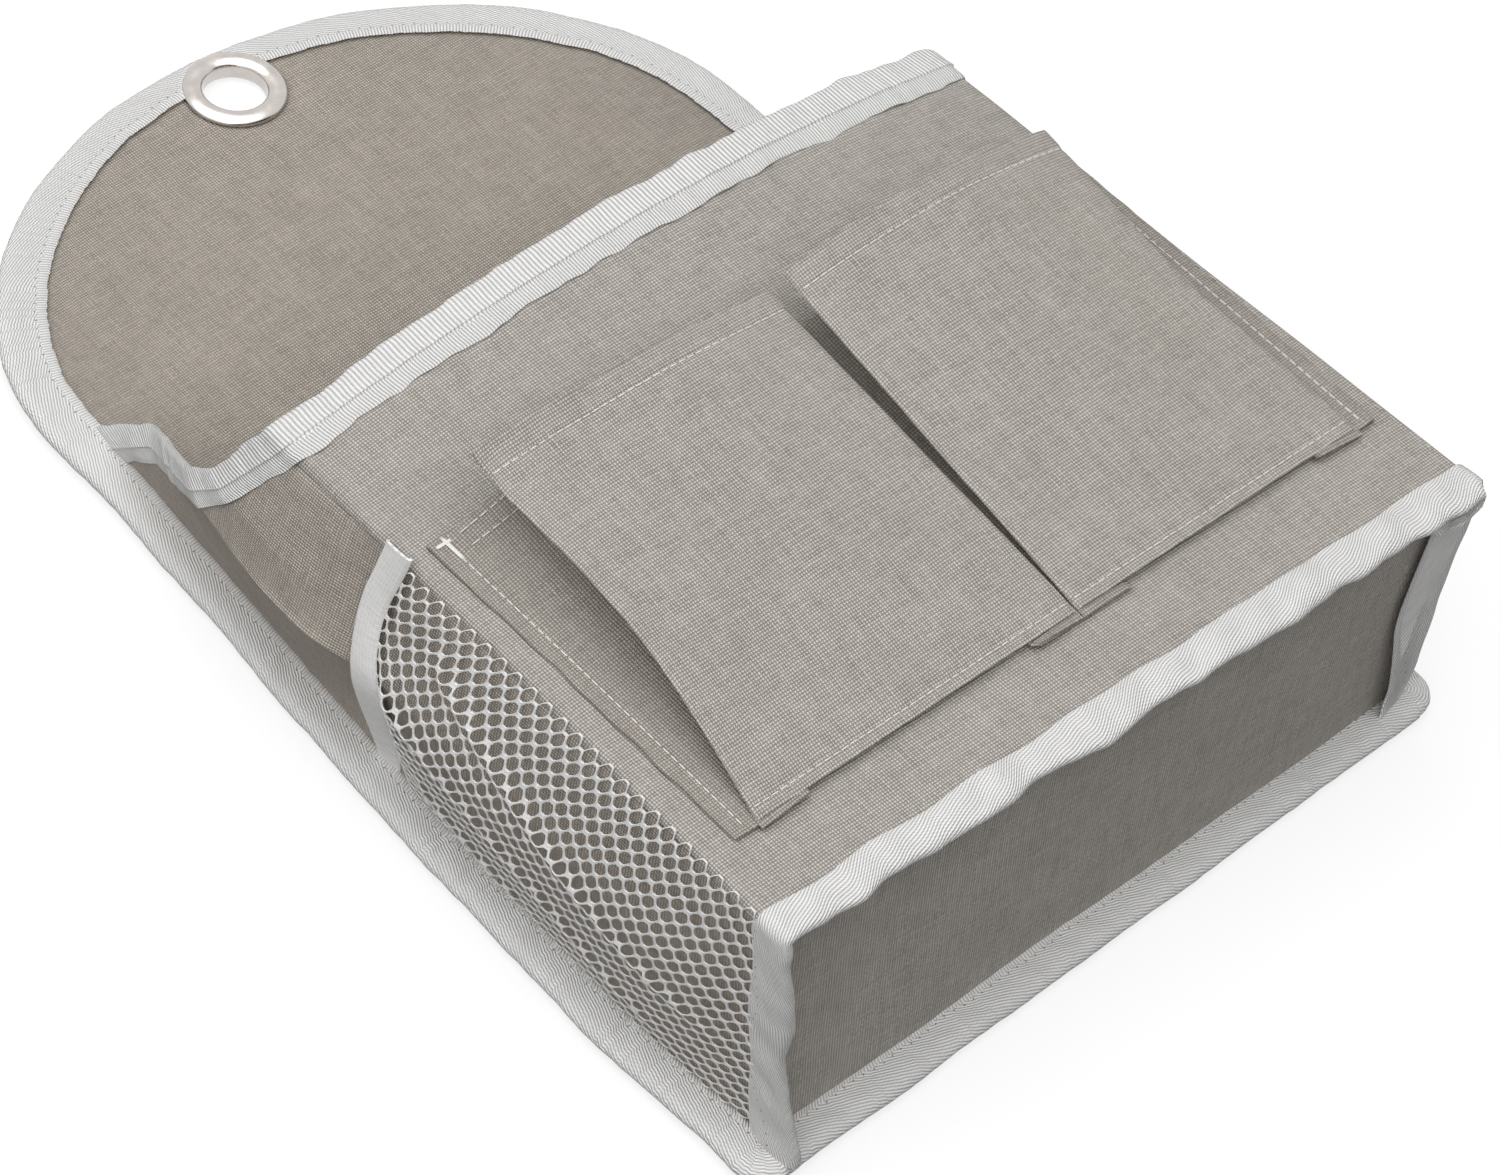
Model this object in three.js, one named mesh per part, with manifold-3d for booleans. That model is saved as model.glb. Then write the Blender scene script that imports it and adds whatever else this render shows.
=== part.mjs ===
import * as THREE from 'three';
import { mergeVertices } from 'three/addons/utils/BufferGeometryUtils.js';
import Module from 'manifold-3d';

// A cloth organizer that hangs on one hook. A stiff back panel with an arched top carries a
// boxy pouch, two pleated pockets on the pouch's front and a net pocket on each of its sides.
// Millimetres. Seen from the front, x runs to the right, z runs up, and y runs back to the wall.
// Depths are counted forwards from the wall, and heights upwards from the base of the pouch.

// Back panel
const backWidth = 239;
const archStart = 264;
const archRise = 96;
const backDrop = 13;
const backSag = 4;

// Pouch. Its depth and width are those of the base. At the mouth the front bows forwards, its
// corners are drawn in and back, the left one further, and its edge rises to the right.
const pouchDepth = 80;
const mouthHeight = 191;
const mouthRise = 3;
const mouthPinch = 10;
const mouthBow = 13;
const mouthDraw = 4;
const mouthTwist = 4;
const seamDrop = 8;

// Sides. Their tops climb from the mouth to the back, ever more steeply.
const sideBackHeight = 261;
const sideClimb = 1.4;
const sideCrease = 13;
const creaseRoundness = 1.15;
const creaseFullHeight = 90;

// Layers
const cloth = 0.5;
const backBoardThickness = 0.8;
const baseBoardThickness = 1.5;
const boardInset = 1;
const tape = 0.4;
const gap = 0.3;

// Widths of the bindings' faces
const backBindingFace = 10;
const mouthBindingFace = 14;
const mouthBindingInside = 12;
const baseBindingFace = 11.5;

// Eyelet
const eyeletDrop = 16;
const eyeletHoleRadius = 9;
const eyeletRimRadius = 14.75;
const eyeletBarrelWall = 0.7;
const eyeletCrown = 1.9;
const washerThickness = 0.6;
const curlRadius = 0.5;

// Net pockets
const bandTop = 136;
const bandHeight = 9.5;
const bandThickness = 1.4;
const netSlack = 7;
const netEdgeGap = 0.8;
const netThread = 0.8;
const netBar = 1.2;
const netColumns = 7;

// Pleated pockets
const leftPocketMargin = 16;
const rightPocketMargin = 15;
const pocketSeam = 3;
const pocketBottom = 26;
const pocketHeight = 112;
const pocketSkew = 0.0375;
const pocketLift = 15.5;
const pocketCrown = 5;
const pocketLeanOutside = 7;
const pocketLeanInside = 3.4;
const pocketHem = 6.5;
const pleatDepth = 16;
const stripOverhang = 6;
const threadWidth = 0.5;
const threadHeight = 0.3;
const threadInset = 3;
const tackLength = 7;
const tackWidth = 1.2;
const threadEnd = 1;

// Facets of the curved pieces
const archFacets = 32;
const roundFacets = 32;
const rimFacets = 8;
const wallColumns = 12;
const wallRows = 8;
const pocketColumns = 8;
const pocketRows = 6;

// Depths of the layers of the back, from the wall forwards
const liningBack = tape;
const boardBack = liningBack + cloth;
const faceBack = boardBack + backBoardThickness;
const faceFront = faceBack + cloth;
const allowanceFront = faceFront + cloth;
const bindingFront = allowanceFront + tape;
const pouchBack = bindingFront + gap;

const backHalf = backWidth / 2;
const eyeletHeight = archStart + archRise - eyeletDrop;
const sideFoot = backHalf - backBindingFace - gap;
const clothLowEdge = seamDrop - tape - gap;
const allowanceLow = backDrop - tape - gap;
const allowanceSide = backHalf - tape - gap;
const barrelRadius = eyeletHoleRadius + eyeletBarrelWall;
const eyeletCutRadius = barrelRadius + gap;

const wasm = await Module();
wasm.setup();

function clothMaterial(color) {
  return new THREE.MeshStandardMaterial({ color, roughness: 0.95, metalness: 0 });
}

const canvasColor = 0xaaa39a;
const boardColor = 0x9b8a6c;
const tapeColor = 0xebebe9;
const netColor = 0xe4e4e2;
const steelColor = 0xc9c4bc;

const organizer = new THREE.Group();
organizer.position.z = -eyeletHeight;

function addPiece(name, geometry, material) {
  const mesh = new THREE.Mesh(geometry, material);
  mesh.name = name;
  organizer.add(mesh);
}

function mix(a, b, t) {
  return a + (b - a) * t;
}

// Booleans

function toSolid(geometry) {
  const bare = geometry.clone();
  bare.deleteAttribute('normal');
  bare.deleteAttribute('uv');
  const merged = mergeVertices(bare, 1e-4);
  const mesh = new wasm.Mesh({
    numProp: 3,
    vertProperties: new Float32Array(merged.attributes.position.array),
    triVerts: new Uint32Array(merged.index.array),
  });
  return new wasm.Manifold(mesh);
}

function toGeometry(solid) {
  const mesh = solid.getMesh();
  const geometry = new THREE.BufferGeometry();
  geometry.setAttribute('position', new THREE.BufferAttribute(mesh.vertProperties, 3));
  geometry.setIndex(new THREE.BufferAttribute(mesh.triVerts, 1));
  return geometry;
}

function joined(geometries) {
  const solids = geometries.map(toSolid);
  return toGeometry(solids.reduce((whole, solid) => whole.add(solid)));
}

function cutBy(geometry, tool) {
  return toGeometry(toSolid(geometry).subtract(toSolid(tool)));
}

// Lofts

function signedVolume(points, triangles) {
  let volume = 0;
  for (let i = 0; i < triangles.length; i += 3) {
    const a = points[triangles[i]];
    const b = points[triangles[i + 1]];
    const c = points[triangles[i + 2]];
    volume += a.dot(b.clone().cross(c)) / 6;
  }
  return volume;
}

// A closed body through rings of equal point counts, closed at both ends by the same triangles.
function loft(rings, capTriangles) {
  const count = rings[0].length;
  const points = rings.flat();
  const triangles = [];
  for (let r = 0; r + 1 < rings.length; r++) {
    for (let i = 0; i < count; i++) {
      const low = r * count + i;
      const next = r * count + (i + 1) % count;
      triangles.push(low, next, next + count, low, next + count, low + count);
    }
  }
  const last = (rings.length - 1) * count;
  for (const [a, b, c] of capTriangles) {
    triangles.push(a, c, b, last + a, last + b, last + c);
  }
  if (signedVolume(points, triangles) < 0) {
    triangles.reverse();
  }
  const geometry = new THREE.BufferGeometry();
  geometry.setFromPoints(points);
  geometry.setIndex(triangles);
  return geometry;
}

// Triangles that fill a profile, turned the way that its points run.
function profileCap(profile) {
  const points = profile.map(([a, b]) => new THREE.Vector2(a, b));
  const turn = Math.sign(THREE.ShapeUtils.area(points));
  return THREE.ShapeUtils.triangulateShape(points, []).map(([a, b, c]) => {
    const same = THREE.ShapeUtils.area([points[a], points[b], points[c]]) * turn > 0;
    return same ? [a, b, c] : [a, c, b];
  });
}

// A sheet between two faces, each a function of (across, up) from 0 to 1.
function sheet(faceA, faceB, columns, rows) {
  const rings = [];
  for (let r = 0; r <= rows; r++) {
    const ring = [];
    for (let c = 0; c <= columns; c++) {
      ring.push(faceA(c / columns, r / rows));
    }
    for (let c = columns; c >= 0; c--) {
      ring.push(faceB(c / columns, r / rows));
    }
    rings.push(ring);
  }
  const cap = [];
  const far = 2 * columns + 1;
  for (let c = 0; c < columns; c++) {
    cap.push([c, c + 1, far - c - 1], [c, far - c - 1, far - c]);
  }
  return loft(rings, cap);
}

// A slab from a shape drawn in x and height, between two depths.
function uprightSlab(shape, back, front) {
  const geometry = new THREE.ExtrudeGeometry(shape, {
    depth: front - back,
    bevelEnabled: false,
    curveSegments: archFacets,
  });
  geometry.rotateX(Math.PI / 2);
  geometry.translate(0, -back, 0);
  return geometry;
}

// A slab from a shape drawn in x and y, between two heights.
function levelSlab(corners, low, high) {
  const shape = new THREE.Shape(corners.map(([x, depth]) => new THREE.Vector2(x, -depth)));
  const geometry = new THREE.ExtrudeGeometry(shape, { depth: high - low, bevelEnabled: false });
  geometry.translate(0, 0, low);
  return geometry;
}

// Back panel: lining, board and face cloth, held together by a binding folded round the edge

function backOutline(inset) {
  const half = backHalf - inset;
  const low = inset - backDrop;
  const shape = new THREE.Shape();
  shape.moveTo(-half, low);
  shape.quadraticCurveTo(0, low - 2 * backSag, half, low);
  shape.lineTo(half, archStart);
  shape.absellipse(0, archStart, half, archRise - inset, 0, Math.PI);
  shape.closePath();
  return shape;
}

function backRing(outerInset, innerInset) {
  const shape = backOutline(outerInset);
  shape.holes.push(backOutline(innerInset));
  return shape;
}

function backLayer(inset, back, front) {
  const shape = backOutline(inset);
  const hole = new THREE.Path();
  hole.absarc(0, eyeletHeight, eyeletCutRadius, 0, 2 * Math.PI, true);
  shape.holes.push(hole);
  return uprightSlab(shape, back, front);
}

function eyeletCutter() {
  const length = 2 * (bindingFront + gap);
  const cutter = new THREE.CylinderGeometry(eyeletCutRadius, eyeletCutRadius, length, archFacets);
  cutter.translate(0, 0, eyeletHeight);
  return cutter;
}

const edgeInset = tape + gap;
const boardEdgeInset = edgeInset + boardInset;
addPiece('back_lining', backLayer(edgeInset, liningBack, boardBack), clothMaterial(canvasColor));
addPiece('back_board', backLayer(boardEdgeInset, boardBack, faceBack), clothMaterial(boardColor));
addPiece('back_face', backLayer(edgeInset, faceBack, faceFront), clothMaterial(canvasColor));

const backBinding = joined([
  uprightSlab(backRing(0, backBindingFace), 0, tape),
  uprightSlab(backRing(0, tape), 0, bindingFront),
  uprightSlab(backRing(0, backBindingFace), allowanceFront, bindingFront),
]);
addPiece('back_binding', cutBy(backBinding, eyeletCutter()), clothMaterial(tapeColor));

// Eyelet: a barrel with a crowned rim in front, curled over a washer at the back

function turned(profile) {
  const closed = [...profile, profile[0]];
  const points = closed.map(([radius, depth]) => new THREE.Vector2(radius, -depth));
  const geometry = new THREE.LatheGeometry(points, roundFacets);
  geometry.translate(0, 0, eyeletHeight);
  return geometry;
}

const rimHalf = (eyeletRimRadius - eyeletHoleRadius) / 2;
const washerFar = -washerThickness;
const curlFar = washerFar - gap - 2 * curlRadius;
const eyeletMaterial = new THREE.MeshStandardMaterial({
  color: steelColor,
  roughness: 0.25,
  metalness: 1,
});
const washerMaterial = eyeletMaterial.clone();

const crownedRim = [];
for (let i = 0; i <= rimFacets; i++) {
  const angle = Math.PI * i / rimFacets;
  const radius = eyeletHoleRadius + rimHalf * (1 - Math.cos(angle));
  crownedRim.push([radius, bindingFront + eyeletCrown * Math.sin(angle)]);
}

addPiece('eyelet', turned([
  [eyeletHoleRadius, curlFar + curlRadius],
  ...crownedRim,
  [barrelRadius, bindingFront],
  [barrelRadius, washerFar - gap],
  [barrelRadius + 1.5 * curlRadius, washerFar - gap],
  [barrelRadius + 2 * curlRadius, washerFar - gap - curlRadius],
  [barrelRadius + curlRadius, curlFar],
]), eyeletMaterial);

addPiece('eyelet_washer', turned([
  [eyeletCutRadius, 0],
  [eyeletRimRadius, 0],
  [eyeletRimRadius, 0.5 * washerFar],
  [eyeletRimRadius - washerThickness, washerFar],
  [eyeletCutRadius, washerFar],
]), washerMaterial);

// Walls of the pouch

function frontHalf(height) {
  return backHalf - mouthPinch * THREE.MathUtils.clamp(height / mouthHeight, 0, 1);
}

function frontDepth(x, height) {
  const share = THREE.MathUtils.clamp(height / mouthHeight, 0, 1) ** 2;
  const across = x / frontHalf(height);
  const bulge = mouthBow * (1 - across ** 2) + mouthTwist * across - mouthDraw;
  return pouchDepth + bulge * share;
}

function cornerDepth(side, height) {
  return frontDepth(side * frontHalf(height), height);
}

// A side creases outwards along its middle, from its foot up. Places on it are given by their
// share of the way from the back to the front.
const creaseLow = baseBindingFace - seamDrop + gap;

function sideHalf(share, height) {
  const up = THREE.MathUtils.clamp((height - creaseLow) / (creaseFullHeight - creaseLow), 0, 1);
  const growth = 1 - (1 - up) ** 2;
  const crease = sideCrease * growth * (1 - Math.abs(2 * share - 1) ** creaseRoundness);
  return mix(sideFoot, frontHalf(height), share) + crease;
}

function sidePoint(side, share, height, offset, frontGap = 0, backGap = 0) {
  const front = cornerDepth(side, height);
  const depth = mix(pouchBack + backGap, front - frontGap, share);
  const held = Math.min((depth - pouchBack) / (front - pouchBack), 1);
  return new THREE.Vector3(side * (sideHalf(held, height) + offset), -depth, height);
}

function sideTop(side, share) {
  const corner = mouthHeight + side * mouthRise;
  return corner + (sideBackHeight - corner) * (1 - share) ** sideClimb;
}

function sideTopStretch(side, share) {
  const climb = sideBackHeight - mouthHeight - side * mouthRise;
  const steepest = climb * sideClimb / (cornerDepth(side, mouthHeight) - pouchBack);
  return Math.hypot(1, steepest * (1 - share) ** (sideClimb - 1));
}

function frontPanel() {
  const face = (inset) => (across, up) => {
    const edge = mouthHeight + mouthRise * (2 * across - 1) - tape - gap;
    const height = mix(-clothLowEdge, edge, up);
    const x = frontHalf(height) * (2 * across - 1);
    return new THREE.Vector3(x, inset - frontDepth(x, height), height);
  };
  return sheet(face(0), face(cloth), wallColumns, wallRows);
}

addPiece('front_panel', frontPanel(), clothMaterial(canvasColor));

// The side is one wall with its back edge turned out flat under the binding of the back.
function sidePanel(side) {
  const frontShare = 1 - (cloth + gap) / (pouchDepth - pouchBack);
  const face = (inset) => (across, up) => {
    const share = (across * (wallColumns + 1) - 1) / wallColumns;
    const upward = (up * (wallRows + 1) - 1) / wallRows;
    const held = THREE.MathUtils.clamp(share, 0, frontShare);
    const edge = sideTop(side, held) - (tape + gap) * sideTopStretch(side, held);
    const height = upward < 0 ? -clothLowEdge : mix(creaseLow, edge, upward);
    const point = sidePoint(side, held, height, -inset);
    if (share < 0) {
      point.y = -faceFront;
    }
    return point;
  };
  const wall = sheet(face(0), face(cloth), wallColumns + 1, wallRows + 1);
  const allowance = new THREE.Shape();
  allowance.moveTo(side * (sideFoot - cloth), -allowanceLow);
  allowance.lineTo(side * allowanceSide, -allowanceLow);
  allowance.lineTo(side * allowanceSide, sideBackHeight);
  allowance.lineTo(side * (sideFoot - cloth), sideBackHeight - mouthBindingFace);
  allowance.closePath();
  const flange = uprightSlab(allowance, faceFront, allowanceFront);
  const notch = levelSlab([
    [-backHalf, allowanceFront],
    [backHalf, allowanceFront],
    [backHalf, pouchBack],
    [-backHalf, pouchBack],
  ], -backDrop, backBindingFace - backDrop + gap);
  return joined([cutBy(wall, notch), flange]);
}

addPiece('left_side_panel', sidePanel(-1), clothMaterial(canvasColor));
addPiece('right_side_panel', sidePanel(1), clothMaterial(canvasColor));

// Base: a cloth tray with its edges turned down into the bound seams, a board and its lining

function baseCorners(offset, back) {
  const slope = (backHalf - sideFoot) / (pouchDepth - pouchBack);
  const backX = sideFoot + (back - pouchBack) * slope + offset;
  return [
    [-backX, back],
    [-backHalf - offset, pouchDepth + offset],
    [backHalf + offset, pouchDepth + offset],
    [backX, back],
  ];
}

function baseStrip(outer, inner, back, low, high) {
  const corners = [...baseCorners(outer, back), ...baseCorners(inner, back).reverse()];
  return levelSlab(corners, low, high);
}

const trayOffset = -cloth - 2 * gap;

function trayBackEdge(front, low) {
  const half = sideFoot + trayOffset;
  return levelSlab([
    [-half, faceFront],
    [half, faceFront],
    [half, front],
    [-half, front],
  ], low, cloth);
}

addPiece('base_panel', joined([
  levelSlab(baseCorners(trayOffset, pouchBack), 0, cloth),
  baseStrip(trayOffset, trayOffset - cloth, pouchBack, -clothLowEdge, cloth),
  trayBackEdge(pouchBack + cloth, 0),
  trayBackEdge(allowanceFront, -allowanceLow),
]), clothMaterial(canvasColor));

const boardOffset = trayOffset - boardInset;
const baseBoardTop = cloth + baseBoardThickness;
addPiece('base_board', levelSlab(baseCorners(boardOffset, pouchBack), cloth, baseBoardTop),
  clothMaterial(boardColor));
addPiece('base_lining',
  levelSlab(baseCorners(boardOffset, pouchBack), baseBoardTop, baseBoardTop + cloth),
  clothMaterial(canvasColor));

// Binding of the base: one tape folded over the front seam and both side seams
const baseOuter = gap + tape;
const baseInner = trayOffset - cloth - gap - tape;
addPiece('base_binding', joined([
  baseStrip(baseOuter, gap, pouchBack, -seamDrop, baseBindingFace - seamDrop),
  baseStrip(baseOuter, baseInner, pouchBack, -seamDrop, tape - seamDrop),
  baseStrip(baseInner + tape, baseInner, pouchBack, -seamDrop, -gap),
]), clothMaterial(tapeColor));

// Binding of the mouth: one tape folded over the tops of the left side, the front and the right

function mouthRing(profile, place) {
  return profile.map(([drop, offset]) => place(drop, offset));
}

function mouthBinding() {
  const inner = -cloth - gap;
  const profile = [
    [0, gap + tape],
    [mouthBindingFace, gap + tape],
    [mouthBindingFace, gap],
    [tape, gap],
    [tape, inner],
    [mouthBindingInside, inner],
    [mouthBindingInside, inner - tape],
    [0, inner - tape],
  ];
  const rings = [];
  const sideStation = (side, share) => mouthRing(profile, (drop, offset) => {
    const height = sideTop(side, share) - drop * sideTopStretch(side, share);
    return sidePoint(side, share, height, offset, share === 1 ? -offset : 0);
  });
  for (let i = 0; i <= wallColumns; i++) {
    rings.push(sideStation(-1, i / wallColumns));
  }
  for (let i = 1; i < wallColumns; i++) {
    const across = 2 * i / wallColumns - 1;
    rings.push(mouthRing(profile, (drop, offset) => {
      const height = mouthHeight + mouthRise * across - drop;
      const x = frontHalf(height) * across;
      return new THREE.Vector3(x, -frontDepth(x, height) - offset, height);
    }));
  }
  for (let i = wallColumns; i >= 0; i--) {
    rings.push(sideStation(1, i / wallColumns));
  }
  return loft(rings, profileCap(profile));
}

addPiece('mouth_binding', mouthBinding(), clothMaterial(tapeColor));

// Net pockets: a net sewn in along three edges, its top edge gathered by an elastic band

const netLow = creaseLow;
const bandBottom = bandTop - bandHeight;
const netHigh = bandBottom - gap;

function netPoint(side, share, height, offset) {
  const slack = netSlack * Math.sin(Math.PI * share) * Math.sqrt(height / bandTop);
  return sidePoint(side, share, height, netEdgeGap + slack + offset, gap, gap);
}

// The net is a honeycomb of bars. Each cell is a hexagon between an outer and an inner outline,
// and cells that touch share their outer corners.
function netPanel(side) {
  const span = pouchDepth - pouchBack - 2 * gap;
  const pitch = span / (netColumns + 0.5);
  const outerRadius = pitch / Math.sqrt(3);
  const innerRadius = (pitch - netBar) / Math.sqrt(3);
  const rows = Math.floor((netHigh - netLow - outerRadius / 2) / (1.5 * outerRadius));
  const stretch = (netHigh - netLow) / ((1.5 * rows + 0.5) * outerRadius);
  const shiftOf = (row) => Math.abs(row % 2) / 2;
  const inNet = (row, column) => row >= 0 && row < rows && column >= 0 && column < netColumns;
  const points = [];
  const triangles = [];
  const corner = (row, column, k, radius, offset) => {
    const angle = Math.PI / 6 + k * Math.PI / 3;
    const forward = (column + shiftOf(row) + 0.5) * pitch + radius * Math.cos(angle);
    const up = (1.5 * row + 1) * outerRadius + radius * Math.sin(angle);
    points.push(netPoint(side, forward / span, netLow + up * stretch, offset));
    return points.length - 1;
  };
  const quad = (a, b, c, d) => {
    triangles.push(a, b, c, a, c, d);
  };
  for (let row = 0; row < rows; row++) {
    const lean = 2 * shiftOf(row);
    const neighbours = [
      [row + 1, lean], [row + 1, lean - 1], [row, -1], [row - 1, lean - 1], [row - 1, lean], [row, 1],
    ];
    for (let column = 0; column < netColumns; column++) {
      for (let k = 0; k < 6; k++) {
        const ends = [k, k + 1];
        const [outA, outB] = ends.map((e) => corner(row, column, e, outerRadius, netThread));
        const [inA, inB] = ends.map((e) => corner(row, column, e, innerRadius, netThread));
        const [outC, outD] = ends.map((e) => corner(row, column, e, outerRadius, 0));
        const [inC, inD] = ends.map((e) => corner(row, column, e, innerRadius, 0));
        quad(outA, outB, inB, inA);
        quad(outD, outC, inC, inD);
        quad(inA, inB, inD, inC);
        const [nextRow, step] = neighbours[k];
        if (!inNet(nextRow, column + step)) {
          quad(outB, outA, outC, outD);
        }
      }
    }
  }
  if (signedVolume(points, triangles) < 0) {
    triangles.reverse();
  }
  const geometry = new THREE.BufferGeometry();
  geometry.setFromPoints(points);
  geometry.setIndex(triangles);
  return mergeVertices(geometry, 1e-3);
}

function elasticBand(side) {
  const face = (offset) => (across, up) => netPoint(side, across, mix(bandBottom, bandTop, up), offset);
  return sheet(face(0), face(bandThickness), wallColumns, 1);
}

for (const [name, side] of [['left', -1], ['right', 1]]) {
  addPiece(`${name}_net`, netPanel(side), clothMaterial(netColor));
  addPiece(`${name}_elastic_band`, elasticBand(side), clothMaterial(tapeColor));
}

// Pleated pockets. Each front is hinged along its bottom seam, and stands away from the pouch on
// a pleat at either side: the cloth folds under the front, and comes back out along the pouch.

const legLow = gap + cloth / 2;
const stripTop = gap + cloth;
const flapBack = 2 * (gap + cloth) + gap;
const foldWidth = 1.5 * cloth;

// The corner of a triangle on the line from a to b, on the right of it, at the two given
// distances from a and b, but no lower than a.
function foldPoint(a, b, fromA, fromB) {
  const span = Math.hypot(b[0] - a[0], b[1] - a[1]);
  const along = (fromA ** 2 - fromB ** 2 + span ** 2) / (2 * span);
  const out = Math.sqrt(Math.max(fromA ** 2 - along ** 2, 0));
  const level = a[1] + (along * (b[1] - a[1]) - out * (b[0] - a[0])) / span;
  const held = Math.max(level, a[1] + (gap + cloth) / 2);
  return [a[0] + Math.sqrt(fromA ** 2 - (held - a[1]) ** 2), held];
}

function pocketLevel(x, up) {
  return pocketBottom + pocketSkew * x + pocketHeight * up;
}

function pocketPoint(x, up, lift) {
  const height = pocketLevel(x, up);
  return new THREE.Vector3(x, -frontDepth(x, height) - lift, height);
}

function pocketFrontDepth(x, across, up) {
  const foot = frontDepth(x, pocketBottom) + flapBack + cloth;
  return foot + pocketLift * up + pocketCrown * 4 * across * (1 - across) * up ** 2;
}

function addPocket(name, outerX) {
  const side = Math.sign(outerX);
  const edgeX = (across, up) => mix(
    outerX - side * pocketLeanOutside * up,
    pocketSeam + side * (gap + pocketLeanInside * up),
    across,
  );
  const frontPoint = (across, up, offset) => {
    const x = edgeX(across, up);
    return new THREE.Vector3(x, -pocketFrontDepth(x, across, up) - offset, pocketLevel(x, up));
  };
  const hemStart = 1 - pocketHem / pocketHeight;
  const front = sheet(
    (across, up) => frontPoint(across, up, 0),
    (across, up) => frontPoint(across, up, -cloth),
    pocketColumns, pocketRows);
  const hem = sheet(
    (across, up) => frontPoint(across, mix(hemStart, 1, up), -cloth / 2),
    (across, up) => frontPoint(across, mix(hemStart, 1, up), -2 * cloth),
    pocketColumns, 1);
  addPiece(`${name}_pocket_front`, joined([front, hem]), clothMaterial(canvasColor));

  const stitchLine = (height) => sheet(
    (across, up) => frontPoint(across, (height + threadWidth * up) / pocketHeight, gap),
    (across, up) => frontPoint(across, (height + threadWidth * up) / pocketHeight,
      gap + threadHeight),
    pocketColumns, 1);
  addPiece(`${name}_pocket_bottom_thread`, stitchLine(threadInset), clothMaterial(tapeColor));
  addPiece(`${name}_pocket_hem_thread`, stitchLine(pocketHeight - pocketHem),
    clothMaterial(tapeColor));

  // A pleat's cloth leaves its seam, folds inside the pocket and comes back to the front's edge.
  const pleatTop = 1 - (pocketHem + gap) / pocketHeight;
  const pleat = (across, seamX, stripX) => {
    const inward = across === 0 ? -side : side;
    const rings = [];
    let profile = [];
    for (let i = 0; i <= wallRows; i++) {
      const up = pleatTop * i / wallRows;
      const edge = edgeX(across, up);
      const lowX = inward * seamX;
      const highX = inward * edge;
      const lowLength = inward * (edgeX(across, 0) - seamX) + pleatDepth;
      const behindFront = pocketFrontDepth(edge, across, up) - 1.5 * cloth - gap;
      const lift = behindFront - frontDepth(edge, pocketLevel(edge, up));
      const fold = foldPoint([lowX, legLow], [highX, lift], lowLength, pleatDepth);
      profile = [
        [inward * stripX, legLow - cloth / 2],
        [lowX, legLow - cloth / 2],
        [fold[0], fold[1] - cloth / 2],
        [fold[0], fold[1] + cloth / 2],
        [highX, lift + cloth / 2],
        [highX, lift - cloth / 2],
        [fold[0] - foldWidth, fold[1]],
        [lowX, legLow + cloth / 2],
        [inward * stripX, legLow + cloth / 2],
      ];
      rings.push(profile.map(([px, py]) => pocketPoint(inward * px, up, py)));
    }
    return loft(rings, profileCap(profile));
  };
  const stripX = outerX + side * stripOverhang;
  const outerSeamX = stripX - side * threadInset;
  const innerSeamX = pocketSeam + side * gap / 2;
  addPiece(`${name}_pocket_outer_pleat`, pleat(0, outerSeamX, stripX), clothMaterial(canvasColor));
  addPiece(`${name}_pocket_inner_pleat`, pleat(1, innerSeamX + side * cloth, innerSeamX),
    clothMaterial(canvasColor));

  const seamThread = (width, low, high, rows) => {
    const face = (lift) => (across, up) => pocketPoint(
      outerSeamX + (across - 0.5) * width, mix(low, high, up) / pocketHeight, lift);
    return sheet(face(stripTop + gap), face(stripTop + gap + threadHeight), 1, rows);
  };
  const tackTop = pleatTop * pocketHeight - threadEnd;
  addPiece(`${name}_pocket_seam_thread`, joined([
    seamThread(threadWidth, threadEnd, tackTop - tackLength / 2, pocketRows),
    seamThread(tackWidth, tackTop - tackLength, tackTop, 1),
  ]), clothMaterial(tapeColor));
}

addPocket('left', leftPocketMargin - backHalf);
addPocket('right', backHalf - rightPocketMargin);

export default organizer;
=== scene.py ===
import math

import bpy
import numpy as np
from mathutils import Matrix, Vector, noise


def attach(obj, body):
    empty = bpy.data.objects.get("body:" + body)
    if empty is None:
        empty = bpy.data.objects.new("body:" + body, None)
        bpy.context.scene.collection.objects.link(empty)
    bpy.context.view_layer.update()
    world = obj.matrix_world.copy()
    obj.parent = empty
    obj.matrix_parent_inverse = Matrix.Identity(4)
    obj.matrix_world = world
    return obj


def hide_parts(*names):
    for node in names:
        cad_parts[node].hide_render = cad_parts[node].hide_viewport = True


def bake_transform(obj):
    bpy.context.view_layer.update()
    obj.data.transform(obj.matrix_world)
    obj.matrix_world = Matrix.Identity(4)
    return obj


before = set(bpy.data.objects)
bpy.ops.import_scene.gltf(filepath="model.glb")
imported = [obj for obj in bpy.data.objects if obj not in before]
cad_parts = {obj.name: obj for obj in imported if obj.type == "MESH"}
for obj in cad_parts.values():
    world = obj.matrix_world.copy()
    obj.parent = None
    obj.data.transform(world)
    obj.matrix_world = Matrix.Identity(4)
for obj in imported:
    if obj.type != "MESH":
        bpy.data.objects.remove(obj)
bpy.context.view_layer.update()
bpy.ops.object.select_all(action="DESELECT")

# Back panel: a stiff board between a canvas face and a canvas lining, arched over the top. The
# cloth is stretched over the board, and its sides bow out a little beside the pouch. Places are
# in millimetres: x, depth forwards from the wall, and height above the base of the pouch.

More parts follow.
